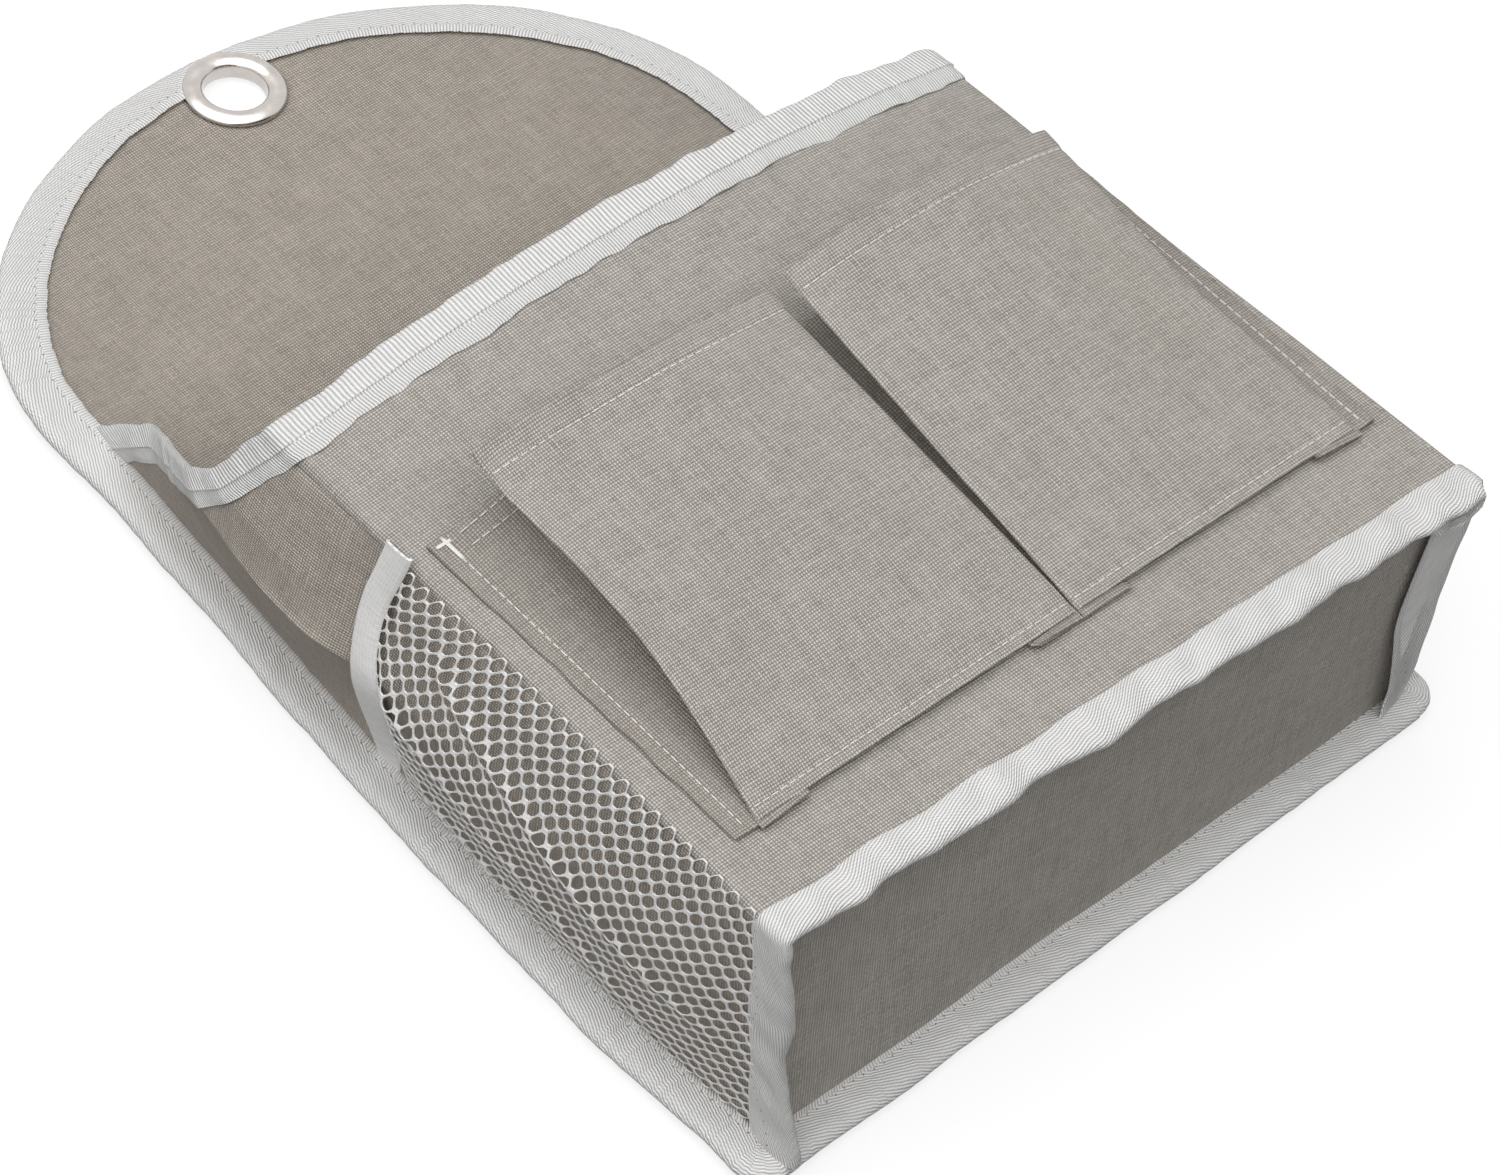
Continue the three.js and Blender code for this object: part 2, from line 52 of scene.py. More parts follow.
EYELET_HEIGHT = 344
BACK_HALF = 119.5
ARCH_START = 264
ARCH_RISE = 96
BACK_LOW = -14
BACK_TILT = 0.045
CORNER_ROUND = 9
SHEET_ROWS = 100
SHEET_COLUMNS = 88
BOW_HEIGHTS = (-15, -3, 8, 30, 42, 68, 93, 115, 131, 146, 158, 170, 184, 200, 214, 238)
BOW_OUT = (4.2, 4.9, 6.2, 7.6, 8.1, 7.8, 7.6, 7.0, 6.2, 5.4, 4.7, 3.9, 3.1, 2.0, 1.2, 0)
CLOTH = 0.5
CLOTH_INSET = 0.9
FACE_FRONT = 2.2
FACE_SWAY = 0.15
LINING_FRONT = 0.4
WEAVE_PITCH = 0.85
WEAVE_WANDER = 1.0
WANDER_SIZE = 14
YARN_APART = 1.37
YARN_EVEN = 0.09
YARN_CONTRAST = 0.8
CROSSING_CONTRAST = 0.09
CROSSING_FLAT = 0.45
CANVAS_DARK = (0.165, 0.150, 0.130, 1)
CANVAS_LIGHT = (0.680, 0.640, 0.590, 1)
# Painted shade: these two colours are a darker, warmer copy of the canvas, standing in for shade
# and warm bounce light on the back face and the sides.
SHADED_CANVAS_DARK = (0.165, 0.145, 0.120, 1)
SHADED_CANVAS_LIGHT = (0.650, 0.585, 0.515, 1)
CANVAS_TONE = 0.13
# Painted shade: how much lighter the yarn tops are painted than the gaps between yarns.
PAINTED_GAP_SHADE = 0.80
BLOTCH_SHARE = 0.16
BLOTCH_SCALE = 0.04
WEAVE_RELIEF = 0.00035
SMOOTH_BELOW = math.radians(50)
BARREL_HOLE = 10.2
BOARD_HALF = 117
BOARD_LOW = -7
BOARD_FRONT = 1.65
BOARD_THICK = 0.7
BOARD_DARK = (0.25, 0.19, 0.11, 1)
BOARD_LIGHT = (0.44, 0.36, 0.23, 1)


def at(x, depth, height):
    return Vector((x, -depth, height - EYELET_HEIGHT)) / 1000


def smooth_share(value, low, high):
    share = min(max((value - low) / (high - low), 0), 1)
    return share * share * (3 - 2 * share)


def ripple(x, y, size, seed=0):
    return noise.noise(Vector((x / size, y / size, seed)))


def worked(tree, operation, *values):
    node = tree.nodes.new("ShaderNodeMath")
    node.operation = operation
    for socket, value in zip(node.inputs, values):
        if isinstance(value, bpy.types.NodeSocket):
            tree.links.new(value, socket)
        else:
            socket.default_value = value
    return node.outputs[0]


def node_in(tree, kind, inputs, **settings):
    node = tree.nodes.new(kind)
    for key, value in settings.items():
        setattr(node, key, value)
    for key, value in inputs.items():
        if isinstance(value, bpy.types.NodeSocket):
            tree.links.new(value, node.inputs[key])
        else:
            node.inputs[key].default_value = value
    return node


def new_material(name):
    material = bpy.data.materials.new(name)
    material.use_nodes = True
    return material, material.node_tree, material.node_tree.nodes["Principled BSDF"]


def add_colour(tree, shader, share, dark, light):
    colour = node_in(tree, "ShaderNodeMix", {0: share, 6: dark, 7: light}, data_type="RGBA")
    tree.links.new(colour.outputs[2], shader.inputs["Base Color"])


def add_bump(tree, shader, height, strength, distance):
    bump = node_in(tree, "ShaderNodeBump", {
        "Strength": strength, "Distance": distance, "Height": height})
    tree.links.new(bump.outputs[0], shader.inputs["Normal"])


def new_group(name, inputs, outputs):
    tree = bpy.data.node_groups.new(name, "ShaderNodeTree")
    for label, kind, value in inputs:
        socket = tree.interface.new_socket(label, in_out="INPUT", socket_type=kind)
        if value is not None:
            socket.default_value = value
    for label in outputs:
        tree.interface.new_socket(label, in_out="OUTPUT", socket_type="NodeSocketFloat")
    given = tree.nodes.new("NodeGroupInput").outputs
    return tree, given, tree.nodes.new("NodeGroupOutput").inputs


def place_in_yarns(tree, place, wander, wander_size):
    drift = node_in(tree, "ShaderNodeTexNoise", {
        "Vector": place, "Scale": 1 / wander_size, "Detail": 2.0, "Roughness": 0.6})
    moved = node_in(tree, "ShaderNodeVectorMath", {0: drift.outputs["Color"], 1: (0.5, 0.5, 0.5)},
                    operation="SUBTRACT")
    scaled = node_in(tree, "ShaderNodeVectorMath", {0: moved.outputs[0], "Scale": wander},
                     operation="SCALE")
    total = node_in(tree, "ShaderNodeVectorMath", {0: place, 1: scaled.outputs[0]},
                    operation="ADD")
    apart = node_in(tree, "ShaderNodeSeparateXYZ", {0: total.outputs[0]})
    return apart.outputs[0], apart.outputs[1]


def yarn_tone(tree, across, along, seed):
    spot = node_in(tree, "ShaderNodeCombineXYZ", {0: across, 1: along, 2: seed})
    return node_in(tree, "ShaderNodeTexNoise", {
        "Vector": spot.outputs[0], "Scale": 1.0, "Detail": 2.0, "Roughness": 0.6}).outputs["Fac"]


def plain_weave():
    tree, given, gives = new_group(
        "plain_weave",
        [("Place", "NodeSocketVector", None), ("Pitch", "NodeSocketFloat", WEAVE_PITCH)],
        ["Tone", "Height"])
    u, v = place_in_yarns(tree, given["Place"], WEAVE_WANDER, WANDER_SIZE)
    warp = worked(tree, "DIVIDE", u, given["Pitch"])
    weft = worked(tree, "DIVIDE", v, given["Pitch"])
    warp_count = worked(tree, "FLOOR", warp)
    weft_count = worked(tree, "FLOOR", weft)
    over = worked(tree, "FLOORED_MODULO", worked(tree, "ADD", warp_count, weft_count), 2.0)
    rounds = [worked(tree, "SINE", worked(tree, "MULTIPLY", worked(tree, "FRACT", yarn), math.pi))
              for yarn in (warp, weft)]
    warp_height, weft_height = [
        worked(tree, "MULTIPLY", own, worked(
            tree, "MULTIPLY_ADD", other, 1 - CROSSING_FLAT, CROSSING_FLAT))
        for own, other in (rounds, rounds[::-1])]
    warp_tone, weft_tone = [
        yarn_tone(tree, worked(tree, "MULTIPLY", count, YARN_APART),
                  worked(tree, "MULTIPLY", along, YARN_EVEN), seed)
        for count, along, seed in ((warp_count, v, 2.0), (weft_count, u, 7.0))]
    crossing = node_in(tree, "ShaderNodeCombineXYZ", {0: warp_count, 1: weft_count})
    float_tone = node_in(tree, "ShaderNodeTexWhiteNoise", {0: crossing.outputs[0]},
                         noise_dimensions="2D").outputs["Value"]
    tone = node_in(tree, "ShaderNodeMix", {0: over, 2: weft_tone, 3: warp_tone})
    yarn = worked(tree, "MULTIPLY_ADD", worked(tree, "SUBTRACT", tone.outputs[0], 0.5),
                  YARN_CONTRAST, 0.5)
    yarn = worked(tree, "MULTIPLY_ADD", worked(tree, "SUBTRACT", float_tone, 0.5),
                  CROSSING_CONTRAST, yarn)
    height = node_in(tree, "ShaderNodeMix", {0: over, 2: weft_height, 3: warp_height})
    tree.links.new(yarn, gives["Tone"])
    tree.links.new(height.outputs[0], gives["Height"])
    return tree


WEAVE_GROUP = plain_weave()


def canvas_material(name, dark, light):
    material, tree, shader = new_material(name)
    place = node_in(tree, "ShaderNodeUVMap", {}, uv_map="cloth").outputs[0]
    weave = node_in(tree, "ShaderNodeGroup", {}, node_tree=WEAVE_GROUP)
    tree.links.new(place, weave.inputs["Place"])
    blotch = node_in(tree, "ShaderNodeTexNoise", {
        "Vector": place, "Scale": BLOTCH_SCALE, "Detail": 4.0}).outputs["Fac"]
    tone = worked(tree, "MULTIPLY_ADD", worked(tree, "SUBTRACT", weave.outputs["Tone"], 0.5),
                  1.0, CANVAS_TONE)
    # Painted shade: the tone rises with the weave's height, so the gaps between yarns are painted
    # darker.
    tone = worked(tree, "MULTIPLY_ADD", weave.outputs["Height"], PAINTED_GAP_SHADE, tone)
    tone = worked(tree, "MULTIPLY_ADD", worked(tree, "SUBTRACT", blotch, 0.5), BLOTCH_SHARE, tone)
    add_colour(tree, shader, tone, dark, light)
    add_bump(tree, shader, weave.outputs["Height"], 1.0, WEAVE_RELIEF)
    shader.inputs["Roughness"].default_value = 0.92
    shader.inputs["Sheen Weight"].default_value = 0.05
    shader.inputs["Sheen Roughness"].default_value = 0.6
    shader.inputs["Specular IOR Level"].default_value = 0.2
    return material


CANVAS = canvas_material("canvas", CANVAS_DARK, CANVAS_LIGHT)
# Painted shade: a second canvas in darker, warmer colours, used for the back face and the side
# walls in place of their shade.
SHADED_CANVAS = canvas_material("shaded_canvas", SHADED_CANVAS_DARK, SHADED_CANVAS_LIGHT)


def pick(piece):
    bpy.ops.object.select_all(action="DESELECT")
    bpy.context.view_layer.objects.active = piece
    piece.select_set(True)


def new_piece(name, points, faces, material):
    mesh = bpy.data.meshes.new(name)
    mesh.from_pydata(points, [], faces)
    mesh.materials.append(material)
    piece = bpy.data.objects.new(name, mesh)
    bpy.context.collection.objects.link(piece)
    pick(piece)
    bpy.ops.object.shade_smooth()
    return piece


def thicken(piece, thickness):
    shell = piece.modifiers.new("thickness", "SOLIDIFY")
    shell.thickness = thickness / 1000
    shell.offset = -1
    bpy.ops.object.modifier_apply(modifier=shell.name)
    bpy.ops.object.shade_smooth_by_angle(angle=SMOOTH_BELOW)
    bpy.ops.object.select_all(action="DESELECT")


def cut_piece(name, points, thickness, material, ring=False):
    """A woven piece through rows of points, with a map of its flat size, and its thickness."""
    grid = np.array(points, float)
    rows, columns = grid.shape[:2]
    steps = np.linalg.norm(np.diff(grid, axis=1), axis=2)
    if ring:
        back_to_start = np.linalg.norm(grid[:, :1] - grid[:, -1:], axis=2)
        steps = np.concatenate([steps, back_to_start], axis=1)
    across = np.concatenate([np.zeros((rows, 1)), np.cumsum(steps, axis=1)], axis=1)
    if ring:
        across = across[0] + np.zeros((rows, 1))
    else:
        across = across - across[:, columns // 2:columns // 2 + 1]
    rises = np.linalg.norm(np.diff(grid, axis=0), axis=2)
    up = np.concatenate([np.zeros((1, columns)), np.cumsum(rises, axis=0)], axis=0)
    places = grid.copy()
    places[..., 1] = -grid[..., 1]
    places[..., 2] = grid[..., 2] - EYELET_HEIGHT
    faces, corners = [], []
    for r in range(rows - 1):
        for c in range(columns if ring else columns - 1):
            n = (c + 1) % columns
            here, above = r * columns, (r + 1) * columns
            faces.append((here + c, here + n, above + n, above + c))
            corners += [(across[r, c], up[r, c]), (across[r, c + 1], up[r, n]),
                        (across[r + 1, c + 1], up[r + 1, n]), (across[r + 1, c], up[r + 1, c])]
    piece = new_piece(name, (places.reshape(-1, 3) / 1000).tolist(), faces, material)
    flat_map = piece.data.uv_layers.new(name="cloth")
    flat_map.data.foreach_set("uv", np.array(corners, np.float32).ravel())
    thicken(piece, thickness)
    return piece


def back_half(height, inset):
    return BACK_HALF + float(np.interp(height, BOW_HEIGHTS, BOW_OUT)) - inset


def back_low(x, inset):
    return BACK_LOW + BACK_TILT * x + inset


def back_sheet(inset, front_depth, sway):
    rows = []
    for r in range(SHEET_ROWS + 1):
        row = []
        for c in range(SHEET_COLUMNS + 1):
            side = math.sin((c / SHEET_COLUMNS - 0.5) * math.pi)
            edge = back_half(0, inset)
            past = max(abs(side) * edge - (edge - CORNER_ROUND), 0)
            cut = CORNER_ROUND - math.sqrt(max(CORNER_ROUND ** 2 - past ** 2, 0))
            low = back_low(side * edge, inset) + cut
            high = ARCH_START + (ARCH_RISE - inset) * math.sqrt(max(1 - side * side, 0))
            height = low + (high - low) * r / SHEET_ROWS
            x = side * back_half(height, inset)
            row.append((x, front_depth + sway * ripple(x, height, 60, 3), height))
        rows.append(row)
    return rows


def combine(piece, other, operation):
    change = piece.modifiers.new("change", "BOOLEAN")
    change.object = other
    change.operation = operation
    change.solver = "EXACT"
    pick(piece)
    bpy.ops.object.modifier_apply(modifier=change.name)
    bpy.data.objects.remove(other)
    piece.select_set(False)


def cut_hole(piece, radius):
    bpy.ops.mesh.primitive_cylinder_add(vertices=64, radius=radius / 1000, depth=0.03,
                                        location=(0, 0, 0), rotation=(math.pi / 2, 0, 0))
    combine(piece, bpy.context.active_object, "DIFFERENCE")


def fibre_material(name, dark, light, scale, detail, strength, distance, roughness):
    """A plain material that fine fibres mottle and roughen."""
    material, tree, shader = new_material(name)
    place = node_in(tree, "ShaderNodeTexCoord", {}).outputs["Object"]
    fibre = node_in(tree, "ShaderNodeTexNoise", {
        "Vector": place, "Scale": scale, "Detail": detail}).outputs["Fac"]
    add_colour(tree, shader, fibre, dark, light)
    add_bump(tree, shader, fibre, strength, distance)
    shader.inputs["Roughness"].default_value = roughness
    return material


BOARD = fibre_material("pressed_board", BOARD_DARK, BOARD_LIGHT, 900.0, 5.0, 0.3, 0.0001, 0.85)

bpy.ops.mesh.primitive_cylinder_add(
    vertices=128, radius=1, depth=BOARD_THICK / 1000, rotation=(math.pi / 2, 0, 0),
    location=at(0, BOARD_FRONT - BOARD_THICK / 2, ARCH_START))
stiffener = bpy.context.active_object
stiffener.name = "back_stiffener_board"
bpy.ops.object.transform_apply(location=False, rotation=True, scale=True)
stiffener.scale = (BOARD_HALF / 1000, 1, (ARCH_RISE - 2) / 1000)
bpy.ops.object.transform_apply(location=True, rotation=True, scale=True)
bpy.ops.mesh.primitive_cube_add(
    size=1, location=at(0, BOARD_FRONT - BOARD_THICK / 2, (ARCH_START + BOARD_LOW) / 2))
lower_part = bpy.context.active_object
lower_part.scale = (2 * BOARD_HALF / 1000, BOARD_THICK / 1000, (ARCH_START - BOARD_LOW) / 1000)
combine(stiffener, lower_part, "UNION")
cut_hole(stiffener, BARREL_HOLE)
stiffener.data.materials.append(BOARD)
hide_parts("back_board")
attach(stiffener, "pouch")

# The back face cloth takes the canvas painted darker and warmer as shade.
face_cloth = cut_piece("back_face_cloth", back_sheet(CLOTH_INSET, FACE_FRONT, FACE_SWAY),
                       CLOTH, SHADED_CANVAS)
cut_hole(face_cloth, BARREL_HOLE)
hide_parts("back_face")
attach(face_cloth, "pouch")

lining_rows = [row[::-1] for row in back_sheet(CLOTH_INSET, LINING_FRONT, 0)]
lining = cut_piece("back_lining_cloth", lining_rows, CLOTH, CANVAS)
cut_hole(lining, BARREL_HOLE)
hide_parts("back_lining")
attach(lining, "pouch")

# Eyelet: a nickel-plated brass ring with a low crowned rim. Its barrel passes through the back
# and the tape, and is curled over a flat washer behind.

EYELET_PROFILE = ((14.75, 2.95), (14.72, 3.35), (14.45, 3.9), (13.9, 4.35), (13.1, 4.65),
                  (12.2, 4.8), (11.3, 4.8), (10.4, 4.65), (9.7, 4.3), (9.2, 3.7), (9.0, 3.0),
                  (9.0, 0.4), (9.1, -0.5), (9.4, -1.0), (10.0, -1.3), (10.6, -1.2), (10.9, -0.8))
EYELET_WALL = 0.5
WASHER_THICK = 0.6
WASHER_HOLE = 9.9
NICKEL_DARK = (0.50, 0.465, 0.44, 1)
NICKEL_LIGHT = (0.68, 0.64, 0.61, 1)


def metal_material(name):
    material, tree, shader = new_material(name)
    shader.inputs["Metallic"].default_value = 1.0
    place = node_in(tree, "ShaderNodeTexCoord", {}).outputs["Object"]
    haze = node_in(tree, "ShaderNodeTexNoise", {"Vector": place, "Scale": 260.0, "Detail": 4.0})
    scuff = node_in(tree, "ShaderNodeTexNoise", {"Vector": place, "Scale": 1500.0, "Detail": 2.0})
    rough = node_in(tree, "ShaderNodeMapRange", {
        "Value": haze.outputs["Fac"], "From Min": 0.3, "From Max": 0.7,
        "To Min": 0.16, "To Max": 0.30})
    tree.links.new(rough.outputs[0], shader.inputs["Roughness"])
    add_colour(tree, shader, haze.outputs["Fac"], NICKEL_DARK, NICKEL_LIGHT)
    add_bump(tree, shader, scuff.outputs["Fac"], 0.15, 0.00005)
    return material


NICKEL = metal_material("polished_nickel")

first_radius, first_depth = EYELET_PROFILE[0]
bpy.ops.mesh.primitive_circle_add(
    vertices=96, radius=first_radius / 1000, location=(0, -first_depth / 1000, 0),
    rotation=(math.pi / 2, 0, 0))
eyelet = bpy.context.active_object
eyelet.name = "eyelet_ring"
bpy.ops.object.transform_apply(location=True, rotation=True, scale=True)
bpy.ops.object.mode_set(mode="EDIT")
bpy.ops.mesh.select_all(action="SELECT")
for (radius, depth), (wider, deeper) in zip(EYELET_PROFILE, EYELET_PROFILE[1:]):
    bpy.ops.mesh.extrude_edges_move(
        TRANSFORM_OT_translate={"value": (0, (depth - deeper) / 1000, 0)})
    bpy.ops.transform.resize(value=(wider / radius, 1, wider / radius), center_override=(0, 0, 0))
bpy.ops.mesh.select_all(action="SELECT")
bpy.ops.mesh.normals_make_consistent(inside=False)
bpy.ops.object.mode_set(mode="OBJECT")
thicken(eyelet, EYELET_WALL)
eyelet.data.materials.append(NICKEL)
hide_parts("eyelet")
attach(eyelet, "pouch")

bpy.ops.mesh.primitive_cylinder_add(
    vertices=96, radius=first_radius / 1000, depth=WASHER_THICK / 1000,
    location=(0, WASHER_THICK / 2000, 0), rotation=(math.pi / 2, 0, 0))
washer = bpy.context.active_object
washer.name = "eyelet_washer_ring"
bpy.ops.object.transform_apply(location=True, rotation=True, scale=True)
cut_hole(washer, WASHER_HOLE)
pick(washer)
soften = washer.modifiers.new("edge", "BEVEL")
soften.width = 0.0002
soften.segments = 2
soften.limit_method = "ANGLE"
bpy.ops.object.modifier_apply(modifier=soften.name)
bpy.ops.object.shade_smooth_by_angle(angle=math.radians(40))
washer.data.materials.append(NICKEL)
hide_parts("eyelet_washer")
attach(washer, "pouch")
bpy.ops.object.select_all(action="DESELECT")

# Walls of the pouch: one canvas front and two canvas sides. The front bows forwards at the
# mouth, and each side is pressed into a sharp outward crease halfway from back to front.

POUCH_BACK = 3.4
POUCH_DEPTH = 80
MOUTH_HEIGHT = 191
MOUTH_RISE = 3
MOUTH_PINCH = {-1: 5.2, 1: 10}
MOUTH_BOW = 13
MOUTH_DRAW = 4
MOUTH_TWIST = 4
TAPE_DROP = 14
SIDE_FOOT = 109.2
BASE_DROOP = 4.2
SEAM_TUCK = 2.5
FRONT_TUCK = 0.6
FRONT_OVER = 0.6
FRONT_ROLL = 2.4
UNDER_TAPE = 0.8
TUCK_WIDTH = 4.5
TUCK_DEPTH = 3.2
RIGHT_TUCK = 0.4
MOUTH_SHARES = (0, 0.24, 0.53, 0.68, 1)
MOUTH_TOP = {-1: ((107.4, 261.9), (105.2, 242.5), (118.7, 211.7), (119.6, 200.4), (114.2, 188)),
             1: ((107.4, 252), (106.5, 222), (114, 205), (116.5, 200), (109.4, 194))}
MOUTH_UNDER = {
    -1: ((108.6, 247.4), (112.5, 230.7), (124.8, 198.8), (124.1, 188.6), (114.7, 174)),
    1: ((108.8, 238), (110, 208.5), (120, 193), (121.5, 187.5), (110.2, 180))}
RIDGE_HEIGHTS = (0, 15, 40, 70, 100, 127, 136, 144, 153, 166, 180, 200)
RIDGE_OUT = (117, 119.5, 122, 123.5, 124.3, 124.6, 125.9, 127.7, 128.8, 129.0, 128.7, 126.5)
RIDGE_SHARE = 0.52
RIDGE_LIP = 0.7
SEAM_SWELL = 0.9
SIDE_SWAY = 0.6
FRONT_SWAY = 0.5
PRESS_HEIGHT = 135
PRESS_REACH = 16
TAPE_PULL = 26
SIDE_RUN = 76
SEAM_SHARE = 0.985
SIDES = {"left": -1, "right": 1}


def mouth_share(height):
    return min(max(height / MOUTH_HEIGHT, 0), 1)


def front_edge(side, height):
    return BACK_HALF - MOUTH_PINCH[side] * mouth_share(height)


def side_of(x):
    return -1 if x < 0 else 1


def front_depth(x, height):
    across = x / front_edge(side_of(x), height)
    bulge = MOUTH_BOW * (1 - across ** 2) + MOUTH_TWIST * across - MOUTH_DRAW
    return POUCH_DEPTH + bulge * mouth_share(height) ** 2


def corner_depth(side, height):
    return front_depth(side * front_edge(side, height), height)


def base_level(x, depth):
    share = min(max((depth - POUCH_BACK) / (POUCH_DEPTH - POUCH_BACK), 0), 1)
    return -BASE_DROOP * (1 - x / 115) * (1 - share) ** 1.3


def wall_half(side, share, height):
    """Half the pouch's width at a share of the way from the back seam to the front seam."""
    foot = SIDE_FOOT + float(np.interp(height, BOW_HEIGHTS, BOW_OUT))
    front = front_edge(side, height)
    straight = foot + (front - foot) * share
    crease = float(np.interp(height, RIDGE_HEIGHTS, RIDGE_OUT)) - (foot + front) / 2
    toward = share / RIDGE_SHARE if share < RIDGE_SHARE else (1 - share) / (1 - RIDGE_SHARE)
    lip = RIDGE_LIP * math.exp(-((1 - toward) / 0.025) ** 2) * smooth_share(height, 139, 150)
    pressed = math.exp(-((height - PRESS_HEIGHT) / PRESS_REACH) ** 2)
    rounded = 1 - (1 - toward) ** 1.12
    return straight + crease * (rounded + (toward ** 1.7 - rounded) * pressed) + lip


def table_place(table, share):
    return (float(np.interp(share, MOUTH_SHARES, [x for x, _ in table])),
            float(np.interp(share, MOUTH_SHARES, [h for _, h in table])))


def side_place(side, share, drop):
    """A place on a side wall's outer face, drop below its top edge, measured down the cloth."""
    top = table_place(MOUTH_TOP[side], share)
    under = table_place(MOUTH_UNDER[side], share)
    if drop <= TAPE_DROP:
        half = top[0] + (under[0] - top[0]) * drop / TAPE_DROP
        height = top[1] + (under[1] - top[1]) * drop / TAPE_DROP
    else:
        height = under[1] - (drop - TAPE_DROP)
        pull = math.exp(-((drop - TAPE_DROP) / TAPE_PULL) ** 2)
        half = wall_half(side, share, height)
        half += (under[0] - wall_half(side, share, under[1])) * pull
    depth = POUCH_BACK + (corner_depth(side, height) - POUCH_BACK) * share
    return (side * half, depth, height)


def side_at(side, share, height):
    under = table_place(MOUTH_UNDER[side], share)[1]
    return side_place(side, share, max(under - height, 0) + TAPE_DROP)


def side_swell(depth, height):
    soft = SEAM_SWELL * math.exp(-((depth - 66) / 5) ** 2) * smooth_share(height, 60, 150)
    return soft + SIDE_SWAY * ripple(depth, height, 30, 5) * smooth_share(height, 0, 60)


def front_cloth(columns=110, rows=90):
    made = []
    for r in range(rows + 1):
        row = []
        for c in range(columns + 1):
            t = 2 * c / columns - 1
            across = 1.5 * t - 0.5 * t ** 3
            top = MOUTH_HEIGHT + MOUTH_RISE * across - UNDER_TAPE
            height = -FRONT_TUCK + (top + FRONT_TUCK) * r / rows
            half = front_edge(side_of(across), height) + FRONT_OVER
            x = half * across
            seam = min(half - abs(x), 2) / 2
            roll = FRONT_ROLL * (1 - math.sqrt(1 - (1 - seam) ** 2))
            sway = FRONT_SWAY * ripple(x, height, 38, 1) * smooth_share(height, 0, 60)
            flat = front_depth(min(max(x, -half + FRONT_OVER), half - FRONT_OVER), height)
            row.append((x, flat - roll + sway, height))
        made.append(row)
    return made


front = cut_piece("front_cloth", front_cloth(), CLOTH, CANVAS)
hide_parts("front_panel")
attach(front, "pouch")


def side_cloth(side, columns=96, rows=110):
    made = []
    for r in range(rows + 1):
        row = []
        for c in range(columns + 1):
            share = 1 - c / columns
            held = min(share, SEAM_SHARE)
            depth = side_at(side, held, 0)[1]
            low = base_level(side * BACK_HALF, depth) - (SEAM_TUCK if side < 0 else RIGHT_TUCK)
            under = table_place(MOUTH_UNDER[side], held)[1]
            drop = UNDER_TAPE + (under - low + TAPE_DROP - UNDER_TAPE) * (1 - r / rows)
            x, depth, height = side_place(side, held, drop)
            seam = min((1 - share) * SIDE_RUN / TUCK_WIDTH, 1)
            tuck = TUCK_DEPTH * (1 - seam) ** 2
            swell = side_swell(depth, height) * math.sin(math.pi * share)
            row.append((x + side * (swell - tuck), depth, height))
        made.append(row[::side])
    return made


for name, side in SIDES.items():
    # The side walls take the canvas painted darker and warmer as shade.
    wall = cut_piece(f"{name}_side_cloth", side_cloth(side), CLOTH, SHADED_CANVAS)
    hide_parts(f"{name}_side_panel")
    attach(wall, "pouch")

# Base: a canvas tray under a thin board, with a canvas lining on top. It droops towards the
# back, and its edges turn down into the seams.

TRAY_TURN = 0.06
TRAY_FRONT_TURN = 0.1
TRAY_SAG = 0.9
TRAY_INSET = 1.2
LINING_LEVEL = 2.6
LINING_SWAY = 0.3
LINING_RUN = 72.5
LINING_INSET = 2.6


def base_half(depth):
    foot = SIDE_FOOT + float(np.interp(0, BOW_HEIGHTS, BOW_OUT))
    return foot + (depth - POUCH_BACK) * (BACK_HALF - foot) / (POUCH_DEPTH - POUCH_BACK)


def base_tray():
    made = []
    for r in range(67):
        row = []
        deep = (1 + TRAY_FRONT_TURN) * r / 66
        for c in range(89):
            across = (1 + TRAY_TURN) * (2 * c / 88 - 1)
            depth = POUCH_BACK - 0.4 + (POUCH_DEPTH - 0.8 - POUCH_BACK) * min(deep, 1)
            half = base_half(depth) - TRAY_INSET
            x = half * min(max(across, -1), 1)
            turned = max((abs(across) - 1) / TRAY_TURN * SEAM_TUCK,
                         (deep - 1) / TRAY_FRONT_TURN * FRONT_TUCK, 0)
            turned *= 1 - 0.8 * smooth_share(x, 100, 112)
            sag = TRAY_SAG * ripple(x, depth, 45, 8) if turned == 0 else 0
            row.append((x, depth, base_level(x, depth) - turned + sag - 0.3))
        made.append(row[::-1])
    return made


tray = cut_piece("base_tray_cloth", base_tray(), CLOTH, CANVAS)
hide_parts("base_panel")
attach(tray, "pouch")


def base_inside():
    made = []
    for r in range(41):
        depth = POUCH_BACK + 0.6 + LINING_RUN * r / 40
        half = SIDE_FOOT - LINING_INSET + (BACK_HALF - SIDE_FOOT) * r / 40
        row = [half * (2 * c / 60 - 1) for c in range(61)]
        made.append([(x, depth, LINING_LEVEL + LINING_SWAY * ripple(x, depth, 30, 4))
                     for x in row])
    return made


base_lining = cut_piece("base_lining_cloth", base_inside(), CLOTH, CANVAS)
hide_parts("base_lining")
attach(base_lining, "pouch")

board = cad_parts["base_board"]
board.data.materials.clear()
board.data.materials.append(BOARD)

# Base binding: white ribbed cotton tape, folded in two over the seam allowance of the front and
# both sides, and stitched down. It stands out as a wavy fin below the base, and at the right it
# is turned in under the base.

TAPE = 0.4
TAPE_DARK = (0.46, 0.455, 0.445, 1)
TAPE_LIGHT = (0.89, 0.885, 0.875, 1)
# Painted shade: the grey of the shade inside each needle hole.
NEEDLE_HOLE_SHADE = (0.30, 0.295, 0.285, 1)
TAPE_WANDER = 0.45
TAPE_WANDER_SIZE = 10
RIB_CONTRAST = 0.9
